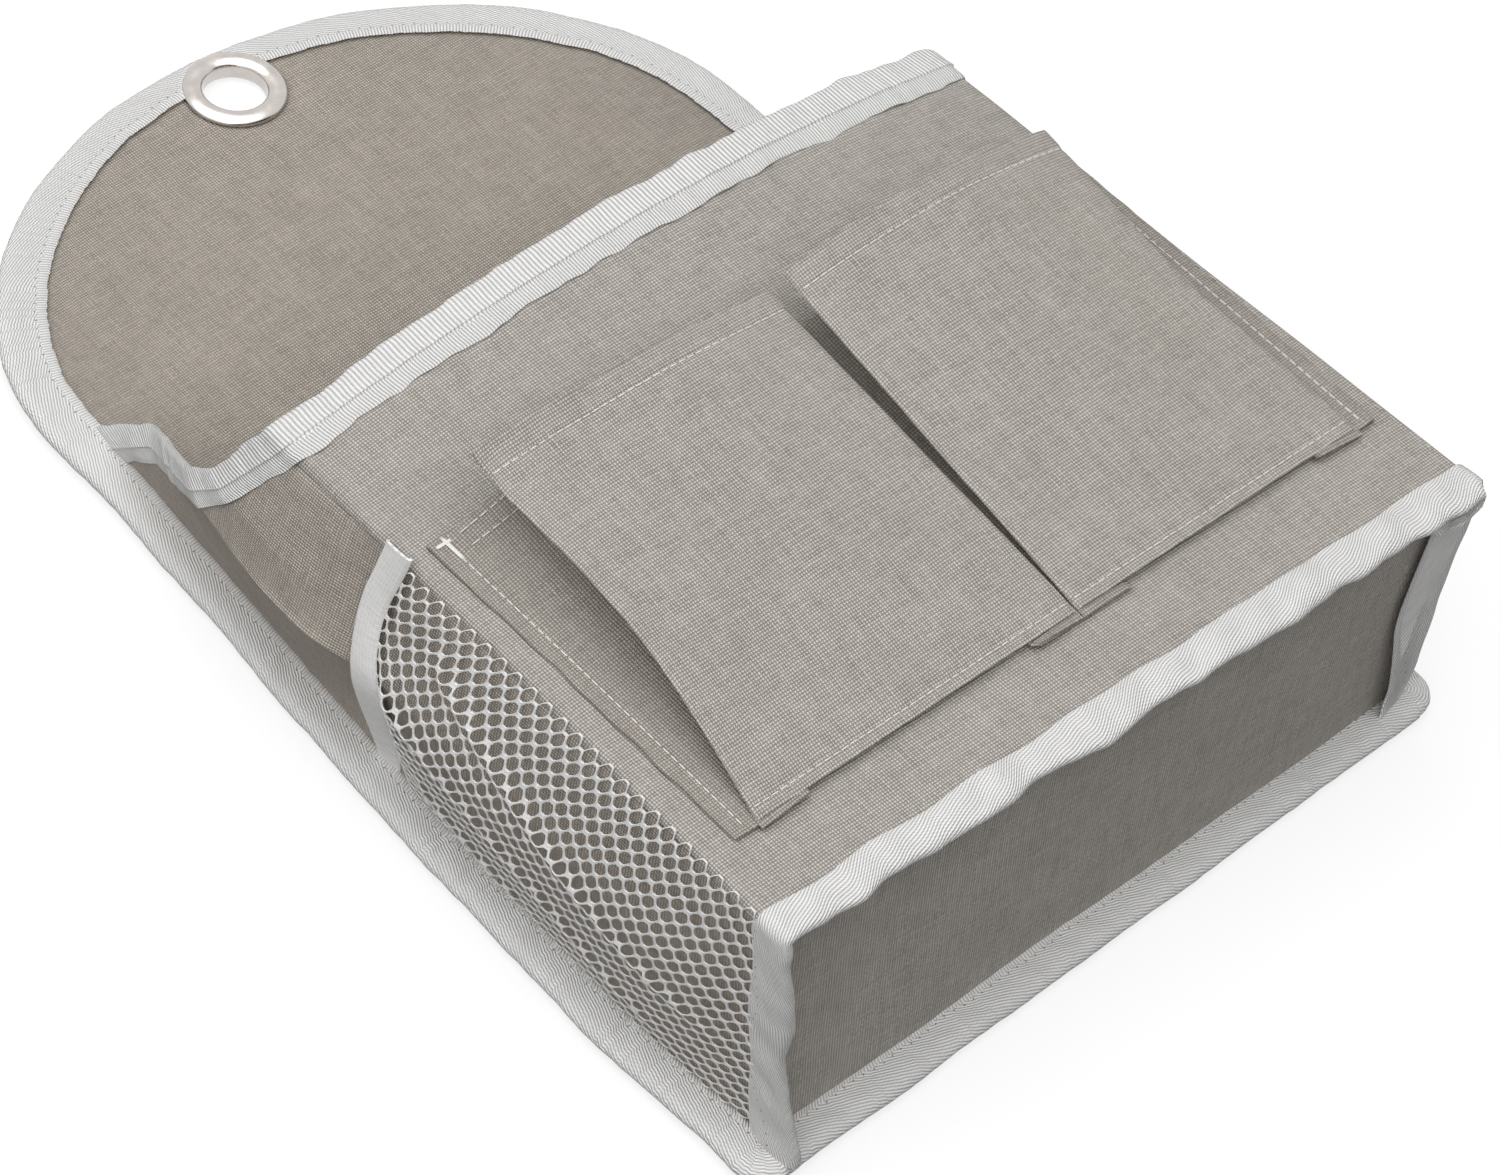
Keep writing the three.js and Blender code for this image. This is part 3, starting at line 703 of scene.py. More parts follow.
# Painted shade: rib and weft-thread tops are painted lighter and the crevices between them darker.
RIB_PAINTED_SHADE = 0.75
RIB_SHADE = 0.18
WEFT_PAINTED_SHADE = 0.16
WEFT_HEIGHT = 0.22
NEEDLE_STEP = 3.1
NEEDLE_SIZE = 0.26
FIN_TOP = 3.6
FIN_LOW = -8.3
FIN_FOLD = 18
FIN_UNDER = 2.8


def ribbed():
    tree, given, gives = new_group(
        "tape_ribs",
        [("Place", "NodeSocketVector", None), ("Pitch", "NodeSocketFloat", 1.2),
         ("Lean", "NodeSocketFloat", 0.0), ("Thread", "NodeSocketFloat", 0.45),
         ("Edge", "NodeSocketFloat", 0.0), ("Edge pitch", "NodeSocketFloat", 0.9),
         ("Needle row", "NodeSocketFloat", 3.0)],
        ["Tone", "Height", "Needle"])
    u, v = place_in_yarns(tree, given["Place"], TAPE_WANDER, TAPE_WANDER_SIZE)
    beyond = worked(tree, "MAXIMUM", worked(tree, "SUBTRACT", v, given["Edge"]), 0.0)
    in_edge = worked(tree, "LESS_THAN", v, given["Edge"])
    pitch = node_in(tree, "ShaderNodeMix", {0: in_edge, 2: given["Pitch"], 3: given["Edge pitch"]})
    run = worked(tree, "DIVIDE", worked(tree, "MULTIPLY_ADD", beyond, given["Lean"], u),
                 pitch.outputs[0])
    rib = worked(tree, "ABSOLUTE", worked(tree, "SINE", worked(tree, "MULTIPLY", run, math.pi)))
    weft = worked(tree, "DIVIDE", worked(tree, "MULTIPLY", v, math.pi), given["Thread"])
    thread = worked(tree, "ABSOLUTE", worked(tree, "SINE", weft))
    count = worked(tree, "FLOOR", run)
    strong = yarn_tone(tree, worked(tree, "MULTIPLY", count, YARN_APART),
                       worked(tree, "MULTIPLY", v, 0.2), 4.0)
    height = worked(tree, "MULTIPLY", rib, worked(tree, "MULTIPLY_ADD", strong, 0.8, 0.5))
    height = worked(tree, "MULTIPLY_ADD", thread, WEFT_HEIGHT, height)
    tree.links.new(height, gives["Height"])
    # Random yarn tone is the tape's own; on top of it, painted shade makes rib and thread tops
    # lighter and the crevices darker.
    tone = worked(tree, "MULTIPLY_ADD", worked(tree, "SUBTRACT", strong, 0.5), RIB_CONTRAST,
                  worked(tree, "MULTIPLY_ADD", rib, RIB_PAINTED_SHADE, RIB_SHADE))
    tone = worked(tree, "MULTIPLY_ADD", thread, WEFT_PAINTED_SHADE, tone)
    tree.links.new(tone, gives["Tone"])
    # Painted shade: small round dots where the needle holes are, to be painted grey as the shade
    # inside them.
    step = worked(tree, "MULTIPLY", worked(tree, "SUBTRACT", worked(
        tree, "FRACT", worked(tree, "DIVIDE", u, NEEDLE_STEP)), 0.5), NEEDLE_STEP)
    off_row = worked(tree, "SUBTRACT", v, given["Needle row"])
    reach = worked(tree, "SQRT", worked(tree, "MULTIPLY_ADD", step, step,
                                        worked(tree, "MULTIPLY", off_row, off_row)))
    tree.links.new(worked(tree, "LESS_THAN", reach, NEEDLE_SIZE), gives["Needle"])
    return tree


RIB_GROUP = ribbed()


def tape_material(name, pitch, lean, edge=0.0, thread=0.45, depth=0.4, needle_row=-50.0):
    material, tree, shader = new_material(name)
    place = node_in(tree, "ShaderNodeUVMap", {}, uv_map="cloth").outputs[0]
    ribs = node_in(tree, "ShaderNodeGroup", {}, node_tree=RIB_GROUP)
    tree.links.new(place, ribs.inputs["Place"])
    for label, value in (("Pitch", pitch), ("Lean", lean), ("Edge", edge), ("Thread", thread),
                         ("Needle row", needle_row)):
        ribs.inputs[label].default_value = value
    colour = node_in(tree, "ShaderNodeMix", {
        0: ribs.outputs["Tone"], 6: TAPE_DARK, 7: TAPE_LIGHT}, data_type="RGBA")
    # Needle holes are painted grey as the shade inside them.
    add_colour(tree, shader, ribs.outputs["Needle"], colour.outputs[2], NEEDLE_HOLE_SHADE)
    add_bump(tree, shader, ribs.outputs["Height"], 0.9, depth / 1000)
    shader.inputs["Roughness"].default_value = 0.85
    shader.inputs["Sheen Weight"].default_value = 0.05
    shader.inputs["Specular IOR Level"].default_value = 0.3
    return material


def eased(line, passes):
    for _ in range(passes):
        line[1:-1] = (line[:-2] + 2 * line[1:-1] + line[2:]) / 4
    return line


def run_along(line):
    return np.concatenate([[0], np.cumsum(np.linalg.norm(np.diff(line, axis=0), axis=1))])


def unit(ways):
    return ways / np.linalg.norm(ways, axis=1, keepdims=True)


def along_path(corners, step, passes):
    """Points every step along straight runs between corners, eased near each corner."""
    spots = [np.array(corners[0], float)]
    for a, b in zip(corners, corners[1:]):
        a, b = np.array(a, float), np.array(b, float)
        count = max(int(np.linalg.norm(b - a) / step), 1)
        spots += [a + (b - a) * (i + 1) / count for i in range(count)]
    return eased(np.array(spots), passes)


def base_binding():
    foot = base_half(POUCH_BACK) + 0.3
    corner = (BACK_HALF + 0.6, POUCH_DEPTH + 0.3)
    path = along_path([(-foot, POUCH_BACK - 0.2), (-corner[0], corner[1]), corner,
                       (foot, POUCH_BACK - 0.2)], 1.2, 6)
    tangent = unit(np.gradient(path, axis=0))
    outward = np.stack([-tangent[:, 1], tangent[:, 0]], 1)
    run = run_along(path)
    profile = [(0.45, 0), (0.62, 0.06), (0.62, 0.2), (0.6, 0.36), (0.6, 0.52), (0.6, 0.68),
               (0.55, 0.82), (0.4, 0.93), (0.0, 1.0), (-0.8, 1.03), (-1.6, 1.02), (-2.2, 0.96),
               (-2.5, 0.86), (-2.6, 0.7), (-2.6, 0.52), (-2.6, 0.34)]
    made = []
    for offset, share in profile:
        row = []
        for (px, pd), out, s in zip(path, outward, run):
            front_share = smooth_share(pd, POUCH_DEPTH - 5, POUCH_DEPTH - 1)
            level = base_level(px, pd)
            top = level + FIN_TOP + (1.2 + 0.022 * px) * front_share + 1.1 * ripple(s, 0, 17, 6)
            low = level + FIN_LOW + (3.0 + 0.013 * px) * front_share + 2.4 * ripple(s, 0, 21, 9)
            low += 0.9 * ripple(s, 0, 8, 14)
            end = 1 - smooth_share(pd, POUCH_BACK, POUCH_BACK + 14)
            low -= 3.5 * end * smooth_share(-px, 0, 60)
            under = 0.55 + 0.45 * smooth_share(pd, POUCH_BACK, POUCH_BACK + 45)
            tucked = max(out[0], 0) ** 2 * under
            low += (level - FIN_UNDER - low) * tucked
            height = top + (low - top) * share
            hang = max(share - 0.35, 0)
            flare = (1.8 * ripple(s, 0, 19, 2) + 1.0 * ripple(s, 0, 8, 21)) * hang
            if offset > 0:
                buckle = 1.5 * ripple(s + 5 * share, 3 * share, 10, 30) + 0.5
                flare += buckle * math.sin(math.pi * share)
            flare *= 1 - 0.6 * tucked
            flare -= FIN_FOLD * smooth_share(share, 0.68, 1) * tucked
            if offset < -1:
                height = min(height, level - 0.9 * tucked)
            place = np.array((px, pd)) + out * (offset + flare)
            row.append((place[0], place[1], height))
        made.append(row)
    return made[::-1]


BASE_TAPE = tape_material("base_tape", 1.9, -2.2, needle_row=20.6)
fin = cut_piece("base_binding_tape", base_binding(), TAPE, BASE_TAPE)
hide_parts("base_binding")
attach(fin, "pouch")

# Mouth binding: one white ribbed tape folded over the tops of the left side, the front and the
# right side. Its two layers are stitched in one line, so the outer one buckles a little.


def mouth_place(t, drop):
    """A place on the wall's outer face, t along the mouth from the left back, drop below it."""
    if t <= 1:
        return side_place(-1, t, drop)
    if t >= 3:
        return side_place(1, 4 - t, drop)
    across = t - 2
    height = MOUTH_HEIGHT + MOUTH_RISE * across - drop
    x = front_edge(side_of(across), height) * across
    return (x, front_depth(x, height), height)


def mouth_binding():
    side_steps, front_steps = 110, 230
    ts = [i / side_steps for i in range(side_steps)]
    ts += [1 + 2 * i / front_steps for i in range(front_steps)]
    ts += [3 + i / side_steps for i in range(side_steps + 1)]
    profile = [(14, 0.45), (13.3, 0.7), (11.5, 0.8), (10, 0.8), (8.9, 0.8), (8.5, 0.95),
               (8.3, 1.35), (7.6, 1.3), (6, 1.15), (4, 1.1), (2.4, 1.1), (1, 1.0), (0.2, 0.7),
               (0, 0.2), (0, -0.4), (0.2, -0.95), (1, -1.3), (3, -1.35), (6, -1.3), (9, -1.3),
               (12, -1.25)]
    walls = {drop: eased(np.array([mouth_place(t, drop) for t in ts]), 3)
             for drop in {d for d, _ in profile}}
    top, low = walls[0], walls[14]
    along = unit(np.gradient((top + low) / 2, axis=0))
    down = unit(low - top)
    out = unit(np.cross(along, down))
    if out[len(ts) // 2, 1] < 0:
        out = -out
    run = run_along(top)
    made = []
    for drop, offset in profile:
        row = []
        outside = 1 if offset > 0 else 0
        for i, s in enumerate(run):
            pucker = (0.4 * ripple(s, drop / 3, 7, 3) + 0.25 * ripple(s, 0, 3.2, 8)) * outside
            steps = 1.3 * ripple(s, 0, 22, 5) + 0.7 * ripple(s, 0, 7, 15)
            wave = steps * (1 - smooth_share(drop, 2, 8))
            hem = 1.4 * ripple(s, 0, 17, 7) + 0.6 * ripple(s, 0, 6, 17)
            hem = hem * smooth_share(drop, 9, 14) * outside
            spot = walls[drop][i] + out[i] * (offset + pucker) + down[i] * (hem - wave)
            row.append(tuple(spot))
        made.append(row)
    return made


MOUTH_TAPE = tape_material("mouth_tape", 1.25, 0.0, edge=5.6, depth=0.5)
mouth = cut_piece("mouth_binding_tape", mouth_binding(), TAPE, MOUTH_TAPE)
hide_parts("mouth_binding")
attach(mouth, "pouch")

# Back binding: one white twill tape folded round the whole edge of the back panel, over the seam
# allowance of the sides and the base, and stitched through near its inner edge.

LOOP_STEP = 0.25
FACE_WIDTH = 10.4
ARCH_WIDTH = 10.7


def back_loop(inset):
    """Places right round the outline, inset from its edge, as many for any inset."""
    bend = max(CORNER_ROUND - inset, 0.5)
    edge = back_half(0, inset)
    loop = []
    foot = {side: back_low(side * edge, inset) + bend for side in (-1, 1)}
    for i in range(260):
        x = (edge - bend) * (2 * i / 260 - 1)
        loop.append((x, back_low(x, inset)))
    for i in range(20):
        angle = math.pi / 2 * i / 20
        loop.append((edge - bend + bend * math.sin(angle), foot[1] - bend * math.cos(angle)))
    for i in range(300):
        height = foot[1] + (ARCH_START - foot[1]) * i / 300
        loop.append((back_half(max(height, 0), inset), height))
    for i in range(420):
        angle = math.pi * i / 420
        loop.append(((BACK_HALF - inset) * math.cos(angle),
                     ARCH_START + (ARCH_RISE - inset) * math.sin(angle)))
    for i in range(300):
        height = ARCH_START + (foot[-1] - ARCH_START) * i / 300
        loop.append((-back_half(max(height, 0), inset), height))
    for i in range(20):
        angle = math.pi / 2 * i / 20
        loop.append((bend - edge - bend * math.cos(angle), foot[-1] - bend * math.sin(angle)))
    return np.array(loop)


def back_face_width(x, height):
    arch = ARCH_WIDTH + 2.3 * smooth_share(abs(x), 30, 100)
    arched = smooth_share(height, ARCH_START - 40, ARCH_START + 10)
    return FACE_WIDTH + (arch - FACE_WIDTH) * arched


def back_binding():
    profile = [(1, 0, 3.0), (0.97, 0, 3.22), (0.85, 0, 3.25), (0.7, 0, 3.05), (0.55, 0, 3.2),
               (0.4, 0, 3.25), (0, 2.8, 3.2), (0, 1.7, 3.0), (0, 0.8, 2.55), (0, 0.2, 1.9),
               (0, 0, 1.2), (0, 0.1, 0.55), (0, 0.6, 0.1), (0, 1.6, 0), (0.4, 0, 0), (0.7, 0, 0),
               (1, 0, 0)]
    outer = back_loop(0)
    run = run_along(np.vstack([outer, outer[:1]]))
    insets = np.arange(-1.5, 16.1, LOOP_STEP)
    loops = np.stack([back_loop(float(inset)) for inset in insets])
    made = []
    for share, inset, depth in profile:
        row = []
        for i, (x, height) in enumerate(outer):
            wanted = share * back_face_width(x, height) + inset
            if share > 0.9 and depth > 2:
                wanted += 0.7 * ripple(run[i], 0, 11, 11) + 0.35 * ripple(run[i], 0, 1.6, 5)
            elif share == 0:
                wanted += 0.7 * ripple(run[i], 0, 26, 13) + 0.25 * ripple(run[i], 0, 5, 16)
            place = (wanted - insets[0]) / LOOP_STEP
            k = min(max(int(place), 0), len(insets) - 2)
            spot = loops[k, i] + (loops[k + 1, i] - loops[k, i]) * (place - k)
            buckle = 0.35 * ripple(run[i] + 0.9 * wanted, 0, 5.5, 3)
            buckle += 0.3 * ripple(run[i], wanted, 16, 6)
            low = smooth_share(-height, -225, -180)
            row.append((spot[0], depth + buckle * (0.35 + 0.65 * low) * (depth > 2), spot[1]))
        made.append(row)
    return made


BACK_TAPE = tape_material("back_tape", 2.0, -2.4, edge=2.6, needle_row=3.1)
edge_tape = cut_piece("back_binding_tape", back_binding(), TAPE, BACK_TAPE,
                      ring=True)
cut_hole(edge_tape, BARREL_HOLE)
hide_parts("back_binding")
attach(edge_tape, "pouch")

# Net pockets: white knitted net sewn in at the back, base and front of each side, with two
# gathers, and held along its top by a flat white elastic that bridges the side's crease.

CELL_STEP = 2.93
CELL_PITCH = 5.75
CELL_LEAN = 1.1
CELL_ROUND = 0.37
HOLE_SHARES = (0.80, 0.87, 0.71, 0.69, 0.71, 0.88)
CELL_COLUMNS = 30
CELL_ROWS = 34
NET_DARK = (0.62, 0.615, 0.60, 1)
NET_LIGHT = (0.95, 0.945, 0.935, 1)
NET_BAR = 0.22
NET_CROWN = 0.5
NET_SPAN = 91.1
NET_TOP = 134
GATHER_PULL = 0.30
GATHER_REACH = 0.055
GATHER_RIDGE = 1.6
GATHER_WIDTH = 0.035
GATHER_OVER = 6
GATHER_UNDER = 14
NET_LOOSE = {-1: 3.2, 1: 0.8}
ELASTIC = 0.8
GATHERS = (((126, 0.60), (40, 0.16)), ((112, 0.84), (22, 0.40)), ((118, 0.22), (84, 0.06)))
BAND_DEPTHS = (3, 11, 20, 31, 41, 47, 60, 78)
BAND_TOP = ((115.7, 134.8), (118.6, 135.0), (121.6, 135.4), (125.8, 135.4), (127.9, 136.2),
            (126.3, 138.6), (121.9, 141.6), (117.2, 139.7))
BAND_UNDER = ((114.9, 125.2), (117.4, 126.2), (120.0, 126.6), (123.8, 126.0), (126.4, 127.0),
              (125.4, 130.4), (121.6, 133.4), (118.0, 129.4))


def behind_edge(side, depth, height):
    return front_edge(side, height) - 0.8 + 0.5 * (POUCH_DEPTH - 2 - depth)


def band_place(side, share, across):
    """A place on the elastic, share of the way from back to front, across from its lower edge."""
    depth = BAND_DEPTHS[0] + (BAND_DEPTHS[-1] - BAND_DEPTHS[0]) * share
    mean = np.zeros(4)
    for step in range(-4, 5):
        spot = min(max(depth + step * 1.2, BAND_DEPTHS[0]), BAND_DEPTHS[-1])
        mean += [np.interp(spot, BAND_DEPTHS, [p[k] for p in table])
                 for table in (BAND_TOP, BAND_UNDER) for k in (0, 1)]
    top_x, top_h, low_x, low_h = mean / 9
    half = low_x + (top_x - low_x) * across
    height = low_h + (top_h - low_h) * across
    if side > 0:
        half = min(half, wall_half(side, (depth - POUCH_BACK) / SIDE_RUN, height) + 1.2,
                   behind_edge(side, depth, height))
    return side * half, depth, height


def net_place(side, u, v, lift):
    """A place on the net, u from the back seam to the front one, v up from the base."""
    share = u / NET_SPAN
    up = v / NET_TOP
    gathered, ridge = share, 0.0
    for (high, at_high), (low, at_low) in GATHERS:
        if v > high + GATHER_OVER or v < low - GATHER_UNDER:
            continue
        line = at_low + (at_high - at_low) * (v - low) / (high - low)
        strength = smooth_share(v, low - GATHER_UNDER, low + 10)
        strength *= 1 - smooth_share(v, high - GATHER_OVER, high + GATHER_OVER)
        away = share - line
        gathered -= GATHER_PULL * away * math.exp(-(away / GATHER_REACH) ** 2) * strength
        ridge += GATHER_RIDGE * math.exp(-(away / GATHER_WIDTH) ** 2) * strength
    share = 0.996 * min(max(gathered - 0.06 * math.sin(math.pi * gathered), 0), 1)
    bottom = base_level(side * BACK_HALF, POUCH_BACK + SIDE_RUN * share)
    top = band_place(side, share, 0.15)
    height = bottom + (top[2] - bottom) * up
    x, depth, _ = side_at(side, min(share, SEAM_SHARE), height)
    depth += SIDE_RUN * max(share - SEAM_SHARE, 0)
    wall = abs(x) + 0.5 * smooth_share(share, 0.95, SEAM_SHARE)
    held = smooth_share(height, 80, 124)
    bridge = abs(band_place(side, share, 0)[0])
    loose = NET_LOOSE[side] * math.sin(math.pi * share) * min(max(up, 0) * 4, 1)
    hang = max(wall + loose, wall + (bridge - wall) * held)
    wrapped = smooth_share(share, 0.93, 1)
    half = hang + 0.6 + ridge - 0.9 * wrapped
    depth += 0.4 * wrapped
    half += (bridge - 0.7 - half) * smooth_share(v, NET_TOP - 7, NET_TOP - 1) + lift
    if side > 0:
        half = min(half, behind_edge(side, depth, height) + lift)
    return (side * half, depth, height)


NET = fibre_material("net_thread", NET_DARK, NET_LIGHT, 2200.0, 2.0, 0.5, 0.0001, 0.6)


def cell_outline():
    """Corners and middles of a slanting cell's sides, each with how far out its hole reaches."""
    forward = (CELL_STEP, -CELL_PITCH / 2 - CELL_LEAN)
    behind = (-CELL_STEP, -CELL_PITCH / 2 + CELL_LEAN)
    near, far = CELL_ROUND, 1 - CELL_ROUND
    corners = [(p * forward[0] + q * behind[0], p * forward[1] + q * behind[1])
               for p, q in ((near, near), (far, -near), (near, -far),
                            (-near, -near), (-far, near), (-near, far))]
    outline = []
    for i, (u, v) in enumerate(corners):
        next_u, next_v = corners[(i + 1) % 6]
        outline.append((u, v, HOLE_SHARES[2 * i % 6]))
        outline.append(((u + next_u) / 2, (v + next_v) / 2, HOLE_SHARES[(2 * i + 1) % 6]))
    return outline


def knitted_net(name, side):
    vertices, faces = [], []
    known = {}

    def shared(u, v, lift):
        key = (round(u * 20), round(v * 20), lift)
        if key not in known:
            known[key] = len(vertices)
            vertices.append(at(*net_place(side, u, v, lift)))
        return known[key]

    for column in range(CELL_COLUMNS):
        cu = NET_SPAN - CELL_STEP + 0.3 - column * CELL_STEP
        for row in range(-1, CELL_ROWS):
            cv = row * CELL_PITCH - column * (CELL_PITCH / 2 - CELL_LEAN)
            if not -1 < cv < NET_TOP + 2:
                continue
            loops = [[], [], [], []]
            for u, v, hole in cell_outline():
                places = [(min(cu + u * part, NET_SPAN), min(max(cv + v * part, -0.5), NET_TOP))
                          for part in (1, 0.55 + 0.45 * hole, hole)]
                loops[0].append(shared(*places[0], NET_BAR))
                for loop, place, lift in ((1, places[1], NET_CROWN), (2, places[2], NET_BAR)):
                    loops[loop].append(len(vertices))
                    vertices.append(at(*net_place(side, *place, lift)))
                loops[3].append(shared(*places[0], 0.0))
            for a, b in zip(loops, loops[1:]):
                for k in range(12):
                    n = (k + 1) % 12
                    face = (a[k], a[n], b[n], b[k])
                    faces.append(face if side > 0 else face[::-1])
    piece = new_piece(name, vertices, faces, NET)
    piece.select_set(False)
    return piece


BAND = tape_material("elastic_weave", 0.5, 0.0, thread=1.1, depth=0.06)


def elastic_band(side):
    profile = [(0.0, -0.7), (0.05, -0.1), (0.15, 0.1), (0.5, 0.2), (0.85, 0.1), (0.95, -0.1),
               (1.0, -0.7)]
    made = []
    for across, lift in profile:
        row = []
        for c in range(81):
            x, depth, height = band_place(side, c / 80, across)
            wave = 0.3 * ripple(depth, across, 12, 19)
            sewn = (1 - across) * 2.0 * smooth_share(c, 60, 80)
            row.append((x + side * (lift + wave), depth + sewn, height))
        made.append(row[::-side])
    return made


for name, side in SIDES.items():
    net = knitted_net(f"{name}_net_cloth", side)
    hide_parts(f"{name}_net")
    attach(net, "pouch")
    band = cut_piece(f"{name}_elastic", elastic_band(side), ELASTIC, BAND)
    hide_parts(f"{name}_elastic_band")
    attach(band, "pouch")

# Pleated pockets: a canvas front with a turned hem, sewn down along its bottom. A deep fold at
# either side lets it stand away from the pouch; the fold's edge is turned under and sewn flat.

POCKET_SEAM = 3
POCKET_BOTTOM = 26
POCKET_HEIGHT = 112
POCKET_SKEW = 0.0375
POCKET_LIFT = 15.5
POCKET_CROWN = {"left": 4, "right": 7.5}
POCKET_OUTER = {"left": 16 - BACK_HALF, "right": BACK_HALF - 15}
LEAN_OUTSIDE = {"left": 5.5, "right": 5.8}
LEAN_INSIDE = {"left": 2.8, "right": 0.6}
LEFT_EDGE_UPS = (0, 0.095, 0.24, 0.38, 0.51, 0.64, 0.764, 0.88, 0.964, 1)
LEFT_EDGE_LIFTS = (0, 3.3, 8.3, 12, 14.2, 14.9, 15.2, 15.6, 17.4, 19.6)
EDGE_BOW = 2.8
POCKET_SWAY = 0.8
BOTTOM_PUCKER = 0.35
HEM_PUCKER = 0.22
BOTTOM_PRESS = 0.3
HEM_PRESS = 0.28
HEM = 6.5
PLEAT_DEPTH = 16
PLEAT_ROWS = 70
PLEAT_TAKEN = 2.0
PLEAT_TAB = 2.2
PLEAT_BASE = 1.5
PLEAT_RISE = 6.5
STRIP_OVERHANG = 7
SEAM_OUT = 3.1
THREAD_INSET = 3
GAP = 0.3
FLAP_BACK = 2 * (GAP + CLOTH) + GAP
PLEAT_TOP = POCKET_HEIGHT - HEM - GAP
# Painted shade: darker canvas colours for the pleat folds, standing in for the shade under the
# pocket fronts.
FOLD_SHADE_DARK = (0.155, 0.139, 0.119, 1)
FOLD_SHADE_LIGHT = (0.570, 0.527, 0.478, 1)


def pocket_level(x, up):
    return POCKET_BOTTOM + POCKET_SKEW * x + POCKET_HEIGHT * up


def pocket_edge(name, across, up):
    """How far along x the pocket reaches, across from its outer edge to its inner one."""
    side = SIDES[name]
    bow = EDGE_BOW * max(1 - ((up - 0.5) / 0.5) ** 2, 0)
    outer = POCKET_OUTER[name] - side * (LEAN_OUTSIDE[name] * up + bow)
    inner = POCKET_SEAM + side * (GAP + LEAN_INSIDE[name] * up)
    return outer + (inner - outer) * across


def pocket_depth(name, across, up):
    """How far forward the pocket's face lies, with its crown, its sway and its puckers."""
    x = pocket_edge(name, across, up)
    foot = front_depth(x, POCKET_BOTTOM) + FLAP_BACK + CLOTH
    crown = POCKET_CROWN[name] * 4 * across * (1 - across) * max(up, 0) ** 1.6
    sway = POCKET_SWAY * ripple(x, up * 100, 34, 12) * smooth_share(up, 0.02, 0.4)
    rise = up * POCKET_HEIGHT
    near_bottom = math.exp(-((rise - THREAD_INSET) / 3.5) ** 2)
    near_hem = math.exp(-((rise - POCKET_HEIGHT + HEM) / 3) ** 2)
    pucker = BOTTOM_PUCKER * ripple(x, 0, 4.5, 18) * near_bottom
    pucker += HEM_PUCKER * ripple(x, 0, 5, 20) * near_hem
    pressed = -BOTTOM_PRESS * math.exp(-((rise - THREAD_INSET) / 0.9) ** 2)
    pressed -= HEM_PRESS * math.exp(-((rise - POCKET_HEIGHT + HEM) / 0.8) ** 2)
    lift = POCKET_LIFT * up
    if name == "left":
        edge = float(np.interp(up, LEFT_EDGE_UPS, LEFT_EDGE_LIFTS))
        lift += (edge - lift) * (1 - across) ** 3
    else:
        lift += 4 * up * across ** 3
    return foot + lift + crown + sway + pucker + pressed


def pocket_front(name):
    """The pocket's face from its bottom up over the turned top, and down behind the hem."""
    hem_up = 1 - HEM / POCKET_HEIGHT
    ups = [(i / 120) * hem_up for i in range(121)]
    ups += [1 - HEM / POCKET_HEIGHT * (1 - i / 14) for i in range(1, 15)]
    rows = [(up, 0.25 * smooth_share(up, hem_up, hem_up + 0.008)) for up in ups]
    rows += [(1.0005, 0.0), (1.0005, -0.35), (1 - 0.3 / POCKET_HEIGHT, -0.85),
             (1 - 3 / POCKET_HEIGHT, -1.05), (hem_up - 0.01, -1.05)]
    made = []
    for up, forward in rows:
        row = []
        for c in range(91):
            across = c / 90 if name == "left" else 1 - c / 90
            edge = min(across, 1 - across) * 100
            roll = 0.7 * max(1 - edge / 1.2, 0) ** 2
            x = pocket_edge(name, across, up)
            depth = pocket_depth(name, across, min(up, 1)) - roll + forward
            row.append((x, depth, pocket_level(x, up)))
        made.append(row)
    return made


def fold_point(a, b, from_a, from_b):
    """Where a fold lies that is so far from a and from b, in front of the cloth behind it."""
    span = math.hypot(b[0] - a[0], b[1] - a[1])
    along = (from_a ** 2 - from_b ** 2 + span ** 2) / (2 * span)
    out = math.sqrt(max(from_a ** 2 - along ** 2, 0))
    level = a[1] + (along * (b[1] - a[1]) - out * (b[0] - a[0])) / span
    held = max(level, a[1] + (GAP + CLOTH) / 2)
    return (a[0] + math.sqrt(max(from_a ** 2 - (held - a[1]) ** 2, 0)), held)


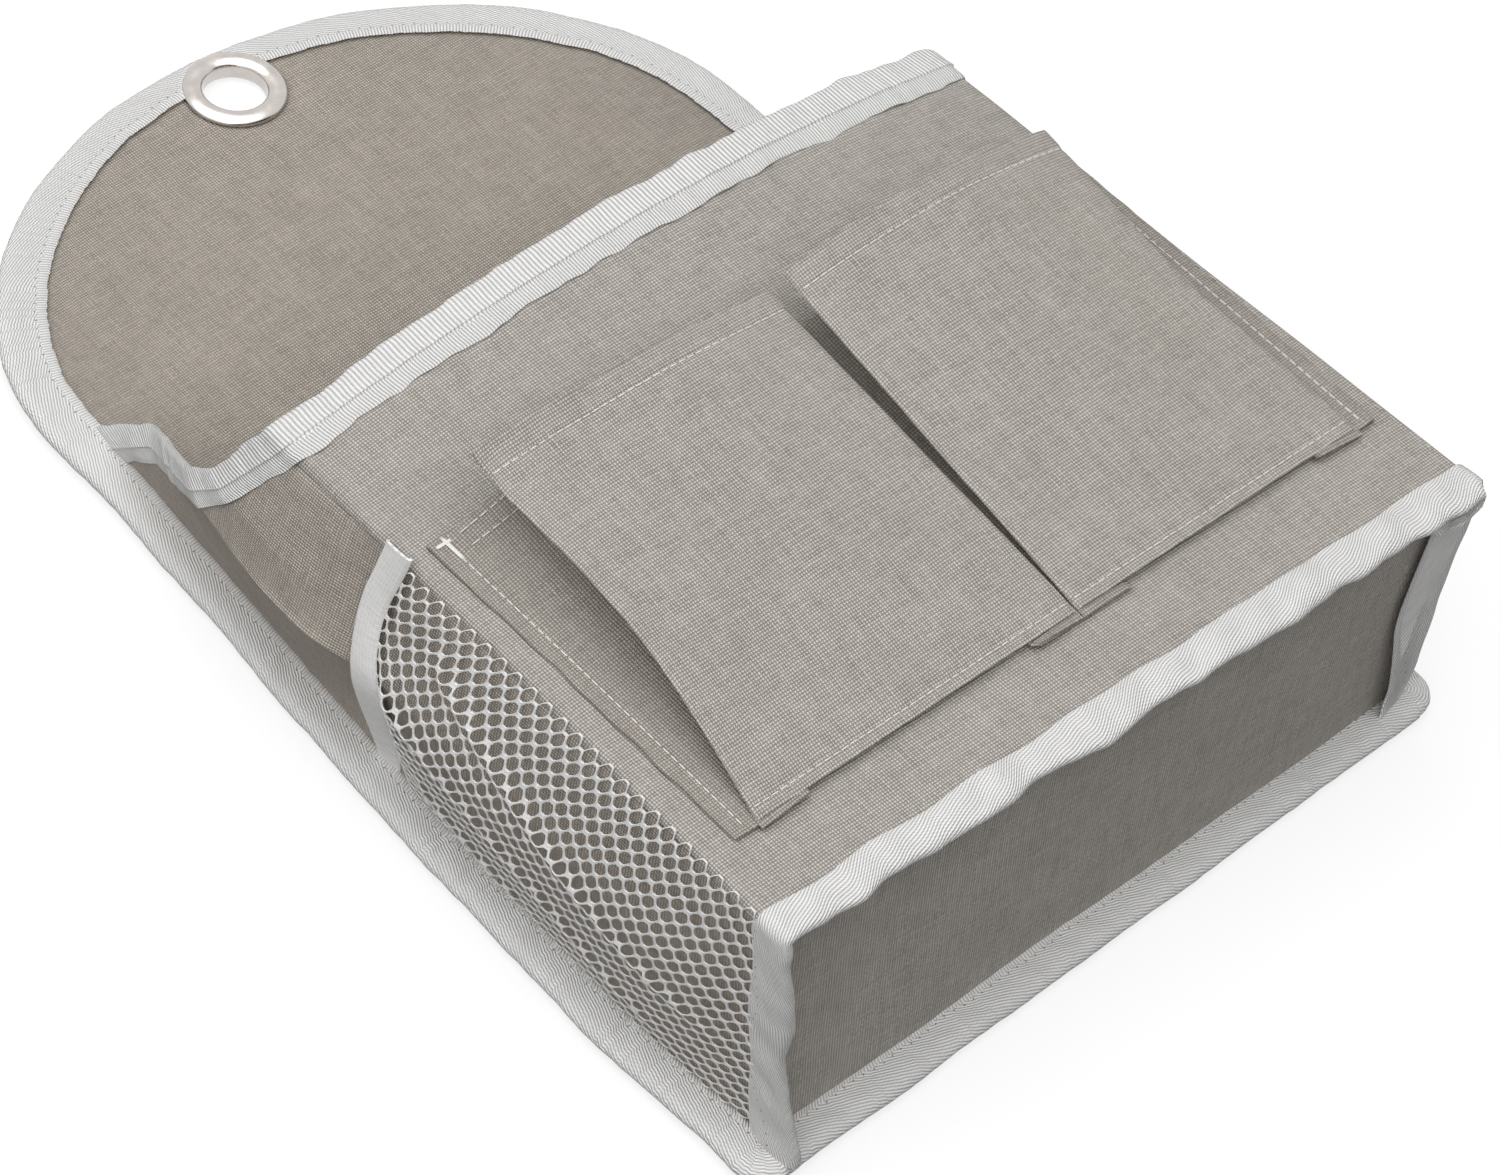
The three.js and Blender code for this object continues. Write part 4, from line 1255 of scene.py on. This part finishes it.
def pleat_line(name, across, up):
    """One level of a pleat, from the turned edge on the pouch, in to the fold and out again."""
    side = SIDES[name]
    inward = -side if across == 0 else side
    edge = pocket_edge(name, across, up)
    if across == 0:
        strip = POCKET_OUTER[name] + side * STRIP_OVERHANG
        seam = POCKET_OUTER[name] + side * SEAM_OUT
        base = PLEAT_BASE
    else:
        strip = POCKET_SEAM + side * GAP / 2
        seam = strip + side * CLOTH
        base = GAP + CLOTH / 2
    low, high, turned = inward * seam, inward * edge, inward * strip
    length = inward * (pocket_edge(name, across, 0) - seam) + PLEAT_DEPTH
    inner_length = PLEAT_DEPTH
    if across == 0:
        taken = PLEAT_TAKEN * smooth_share(up, 0.5, 1)
        length, inner_length = length + taken, inner_length - taken
    behind = pocket_depth(name, across, up) - 1.5 * CLOTH - GAP
    lift = behind - front_depth(edge, pocket_level(edge, up))
    fold = fold_point((low, base), (high, lift), length, inner_length)
    if across == 0:
        stray = 0.5 * ripple(up * POCKET_HEIGHT, side, 9, 22)
        lip = turned + stray
        line = [(low + 1.5, 0.35), (lip + 0.5, 0.35), (lip, 0.6), (lip, 1.2), (lip + 0.5, base),
                (lip + 1.6, base), (low - 0.6, base), (low, base - 0.15)]
    else:
        line = [(turned, base), (low, base)]
    slack = max(up, 0)
    for k in range(1, 13):
        s = k / 12
        belly = 0.5 * math.sin(math.pi * s) * slack
        line.append((low + (fold[0] - low) * s, base + (fold[1] - base) * s - belly))
    for k in range(1, 15):
        s = k / 14
        belly = 0.9 * math.sin(math.pi * s) * slack
        line.append((fold[0] + (high - fold[0]) * s, fold[1] + (lift - fold[1]) * s + belly))
    places = []
    for i, (px, lifted) in enumerate(line):
        x = inward * px
        inner_share = i / (len(line) - 1)
        raised = (PLEAT_RISE * up + PLEAT_TAB * (1 - slack)) * (1 - inner_share)
        height = pocket_level(x, up) + raised * (across == 0)
        places.append((x, front_depth(x, height) + lifted, height))
    return places


# Painted shade: the pleat folds get the canvas painted darker, as the shade under the pocket's
# edges.
FOLD_SHADE_CANVAS = canvas_material("fold_shade_canvas", FOLD_SHADE_DARK, FOLD_SHADE_LIGHT)
for name, side in SIDES.items():
    piece = cut_piece(f"{name}_pocket_cloth", pocket_front(name), CLOTH, CANVAS)
    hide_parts(f"{name}_pocket_front")
    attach(piece, f"{name}_pocket")
    for label, across in (("outer", 0), ("inner", 1)):
        rises = [(PLEAT_TOP + PLEAT_TAB) * i / PLEAT_ROWS - PLEAT_TAB
                 for i in range(PLEAT_ROWS + 1)]
        rows = [pleat_line(name, across, rise / POCKET_HEIGHT) for rise in rises]
        if (across == 0) == (side > 0):
            rows = [row[::-1] for row in rows]
        pleat = cut_piece(f"{name}_pocket_{label}_fold", rows, CLOTH, FOLD_SHADE_CANVAS)
        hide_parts(f"{name}_pocket_{label}_pleat")
        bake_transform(pleat)

# Sewing thread: fine white lockstitch, one raised bead for each stitch. Each pocket's outer seam
# ends at the top in a bar tack, and two lines of stitches hold the turned top of its outer fold.

STITCH = 2.6
STITCH_GAP = 0.2
THREAD = 0.19
TACK_THREAD = 0.18
TACK_PITCH = 0.22
TACK_HEIGHT = 11
SEAM_LIFT = 1.55
TACK_LIFT = 1.7
CROSS_LIFT = 1.8
FACE_LIFT = 0.16
FOLD_PLACES = slice(9, 20)
FORWARD = (0, -1, 0)
THREAD_DARK = (0.62, 0.60, 0.57, 1)
THREAD_LIGHT = (0.92, 0.91, 0.88, 1)
THREAD_WHITE = fibre_material("sewing_thread", THREAD_DARK, THREAD_LIGHT, 3500.0, 2.0, 0.5,
                              0.00008, 0.55)


def bead(a, b, out, radius):
    """The six-sided, tapered bead of one stitch from a to b."""
    along = (b - a).normalized()
    sideways = along.cross(out).normalized()
    up = sideways.cross(along).normalized()
    points, faces = [], []
    for share, size in ((0, 0.35), (0.18, 1), (0.82, 1), (1, 0.35)):
        for k in range(6):
            angle = math.pi * k / 3
            points.append(a + (b - a) * share
                          + (sideways * math.cos(angle) + up * math.sin(angle)) * radius * size)
    for ring in range(3):
        for k in range(6):
            n = (k + 1) % 6
            faces.append((ring * 6 + k, ring * 6 + n, ring * 6 + 6 + n, ring * 6 + 6 + k))
    faces.append(tuple(reversed(range(6))))
    faces.append(tuple(range(18, 24)))
    return points, faces


def spot_along(spots, run, distance):
    for i in range(len(run) - 1):
        if distance <= run[i + 1] or i == len(run) - 2:
            share = (distance - run[i]) / max(run[i + 1] - run[i], 1e-9)
            return spots[i] + (spots[i + 1] - spots[i]) * share


def sew(name, seams):
    """One mesh of beads along seams: each has its places, outward way, stitch and radius."""
    vertices, faces = [], []
    for line, out, stitch, radius in seams:
        spots = [at(*place) for place in line]
        run = [0.0]
        for a, b in zip(spots, spots[1:]):
            run.append(run[-1] + (b - a).length)
        count = max(int(run[-1] * 1000 / (stitch + STITCH_GAP)), 1)
        step = run[-1] / count
        for i in range(count):
            a = spot_along(spots, run, (i + 0.08) * step)
            b = spot_along(spots, run, (i + 0.92) * step)
            points, sides = bead(a, b, Vector(out), radius / 1000)
            faces += [tuple(len(vertices) + k for k in face) for face in sides]
            vertices += points
    piece = new_piece(name, vertices, faces, THREAD_WHITE)
    piece.select_set(False)
    return piece


def across_pocket(name, rise):
    line = []
    for i in range(91):
        across = 0.008 + 0.984 * i / 90
        up = rise / POCKET_HEIGHT
        x = pocket_edge(name, across, up)
        line.append((x, pocket_depth(name, across, up) + FACE_LIFT, pocket_level(x, up)))
    return line


def down_strip(x, low, high, lift):
    line = []
    for i in range(31):
        up = (low + (high - low) * i / 30) / POCKET_HEIGHT
        height = pocket_level(x, up)
        line.append((x, front_depth(x, height) + lift, height))
    return line


for name, side in SIDES.items():
    hem_line = sew(f"{name}_hem_stitches", [
        (across_pocket(name, POCKET_HEIGHT - HEM), FORWARD, STITCH, THREAD)])
    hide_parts(f"{name}_pocket_hem_thread")
    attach(hem_line, f"{name}_pocket")
    bottom_line = sew(f"{name}_bottom_stitches", [
        (across_pocket(name, THREAD_INSET), FORWARD, STITCH, THREAD)])
    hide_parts(f"{name}_pocket_bottom_thread")
    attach(bottom_line, f"{name}_pocket")
    seam_x = POCKET_OUTER[name] + side * SEAM_OUT
    strip_top = PLEAT_TOP + PLEAT_RISE
    seams = [(down_strip(seam_x, 1.5, strip_top - 3, SEAM_LIFT), FORWARD, STITCH, THREAD)]
    for k in range(4):
        x = seam_x + (k - 1.5) * TACK_PITCH
        tack = down_strip(x, strip_top - TACK_HEIGHT, strip_top - 0.3, TACK_LIFT)
        seams.append((tack, FORWARD, 12, TACK_THREAD))
        level = POCKET_BOTTOM + POCKET_SKEW * x + strip_top - 3.4 + (k - 1.5) * TACK_PITCH
        cross = [(x, front_depth(x, level) + CROSS_LIFT, level)
                 for x in (seam_x + side * 3.6, seam_x - side * 2.2)]
        seams.append((cross, FORWARD, 6.5, TACK_THREAD))
    side_line = sew(f"{name}_side_stitches", seams)
    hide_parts(f"{name}_pocket_seam_thread")
    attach(side_line, "pouch")
    seams = []
    for drop in (2, HEM):
        line = pleat_line(name, 0, (PLEAT_TOP - drop) / POCKET_HEIGHT)[FOLD_PLACES]
        line = [(x, depth + CLOTH / 2 + 0.1, height) for x, depth, height in line]
        seams.append((line, FORWARD, STITCH, THREAD))
    fold_line = sew(f"{name}_fold_stitches", seams)
    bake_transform(fold_line)

# Stage: a white surface that the organizer lies on, one wide soft lamp above it, a dim room all
# round, and the camera of the photograph.

FLOOR_BEHIND = 2.6
FLOOR_SIZE = 8
FLOOR_GLOW = 0.70
FLOOR_GREY = (0.34, 0.34, 0.34, 1)
ROOM_LIGHT = 0.225
LAMP_POWER = 48.5
LAMP_SIZE = 3
LAMP_PLACE = (-0.48, -1.48, -0.24)
LAMP_AIM = (0, -0.03, -0.2)
WHITE = (1, 1, 1, 1)
CAMERA_LENS = 120
CAMERA_PLACE = (-0.66979, -0.95531, -0.77978)
CAMERA_RIGHT = (0.743569, -0.137140, -0.654445)
CAMERA_UP = (0.423672, -0.660574, 0.619794)
CAMERA_BACK = (-0.517308, -0.738129, -0.433080)

bpy.ops.mesh.primitive_plane_add(size=FLOOR_SIZE, location=(0, FLOOR_BEHIND / 1000, 0),
                                 rotation=(math.pi / 2, 0, 0))
floor = bpy.context.active_object
floor.name = "floor"
paper = bpy.data.materials.new("pale_floor")
paper.use_nodes = True
tree = paper.node_tree
tree.nodes.remove(tree.nodes["Principled BSDF"])
output = tree.nodes["Material Output"]
matte = node_in(tree, "ShaderNodeBsdfDiffuse", {"Color": FLOOR_GREY})
glow = node_in(tree, "ShaderNodeEmission", {"Color": WHITE, "Strength": FLOOR_GLOW})
pale = node_in(tree, "ShaderNodeAddShader", {0: matte.outputs[0], 1: glow.outputs[0]})
clear = node_in(tree, "ShaderNodeBsdfTransparent", {})
rays = node_in(tree, "ShaderNodeLightPath", {})
shape = node_in(tree, "ShaderNodeNewGeometry", {})
facing = worked(tree, "SUBTRACT", 1.0, shape.outputs["Backfacing"])
seen = worked(tree, "MULTIPLY", facing, rays.outputs["Is Camera Ray"])
both = node_in(tree, "ShaderNodeMixShader", {0: seen, 1: clear.outputs[0], 2: pale.outputs[0]})
tree.links.new(both.outputs[0], output.inputs[0])
floor.data.materials.append(paper)

room = bpy.data.worlds.new("room")
bpy.context.scene.world = room
room.use_nodes = True
tree = room.node_tree
background = tree.nodes["Background"]
rays = node_in(tree, "ShaderNodeLightPath", {})
seen = worked(tree, "MAXIMUM", rays.outputs["Is Camera Ray"], rays.outputs["Is Glossy Ray"])
strength = node_in(tree, "ShaderNodeMix", {0: seen, 2: ROOM_LIGHT, 3: 1.0})
tree.links.new(strength.outputs[0], background.inputs["Strength"])
background.inputs["Color"].default_value = WHITE

lamp = bpy.data.lights.new("overhead", "AREA")
lamp.shape = "SQUARE"
lamp.size = LAMP_SIZE
lamp.energy = LAMP_POWER
holder = bpy.data.objects.new("overhead", lamp)
holder.location = LAMP_PLACE
aim = Vector(LAMP_AIM) - Vector(LAMP_PLACE)
holder.rotation_euler = aim.to_track_quat("-Z", "Y").to_euler()
holder.visible_camera = False
bpy.context.collection.objects.link(holder)

lens = bpy.data.cameras.new("camera")
lens.lens = CAMERA_LENS
lens.sensor_width = 36
lens.clip_start = 0.05
lens.clip_end = 20
camera = bpy.data.objects.new("camera", lens)
turn = Matrix((CAMERA_RIGHT, CAMERA_UP, CAMERA_BACK)).transposed()
camera.matrix_world = Matrix.Translation(CAMERA_PLACE) @ turn.to_4x4()
bpy.context.collection.objects.link(camera)
bpy.context.scene.camera = camera
bpy.context.scene.view_settings.view_transform = "Standard"
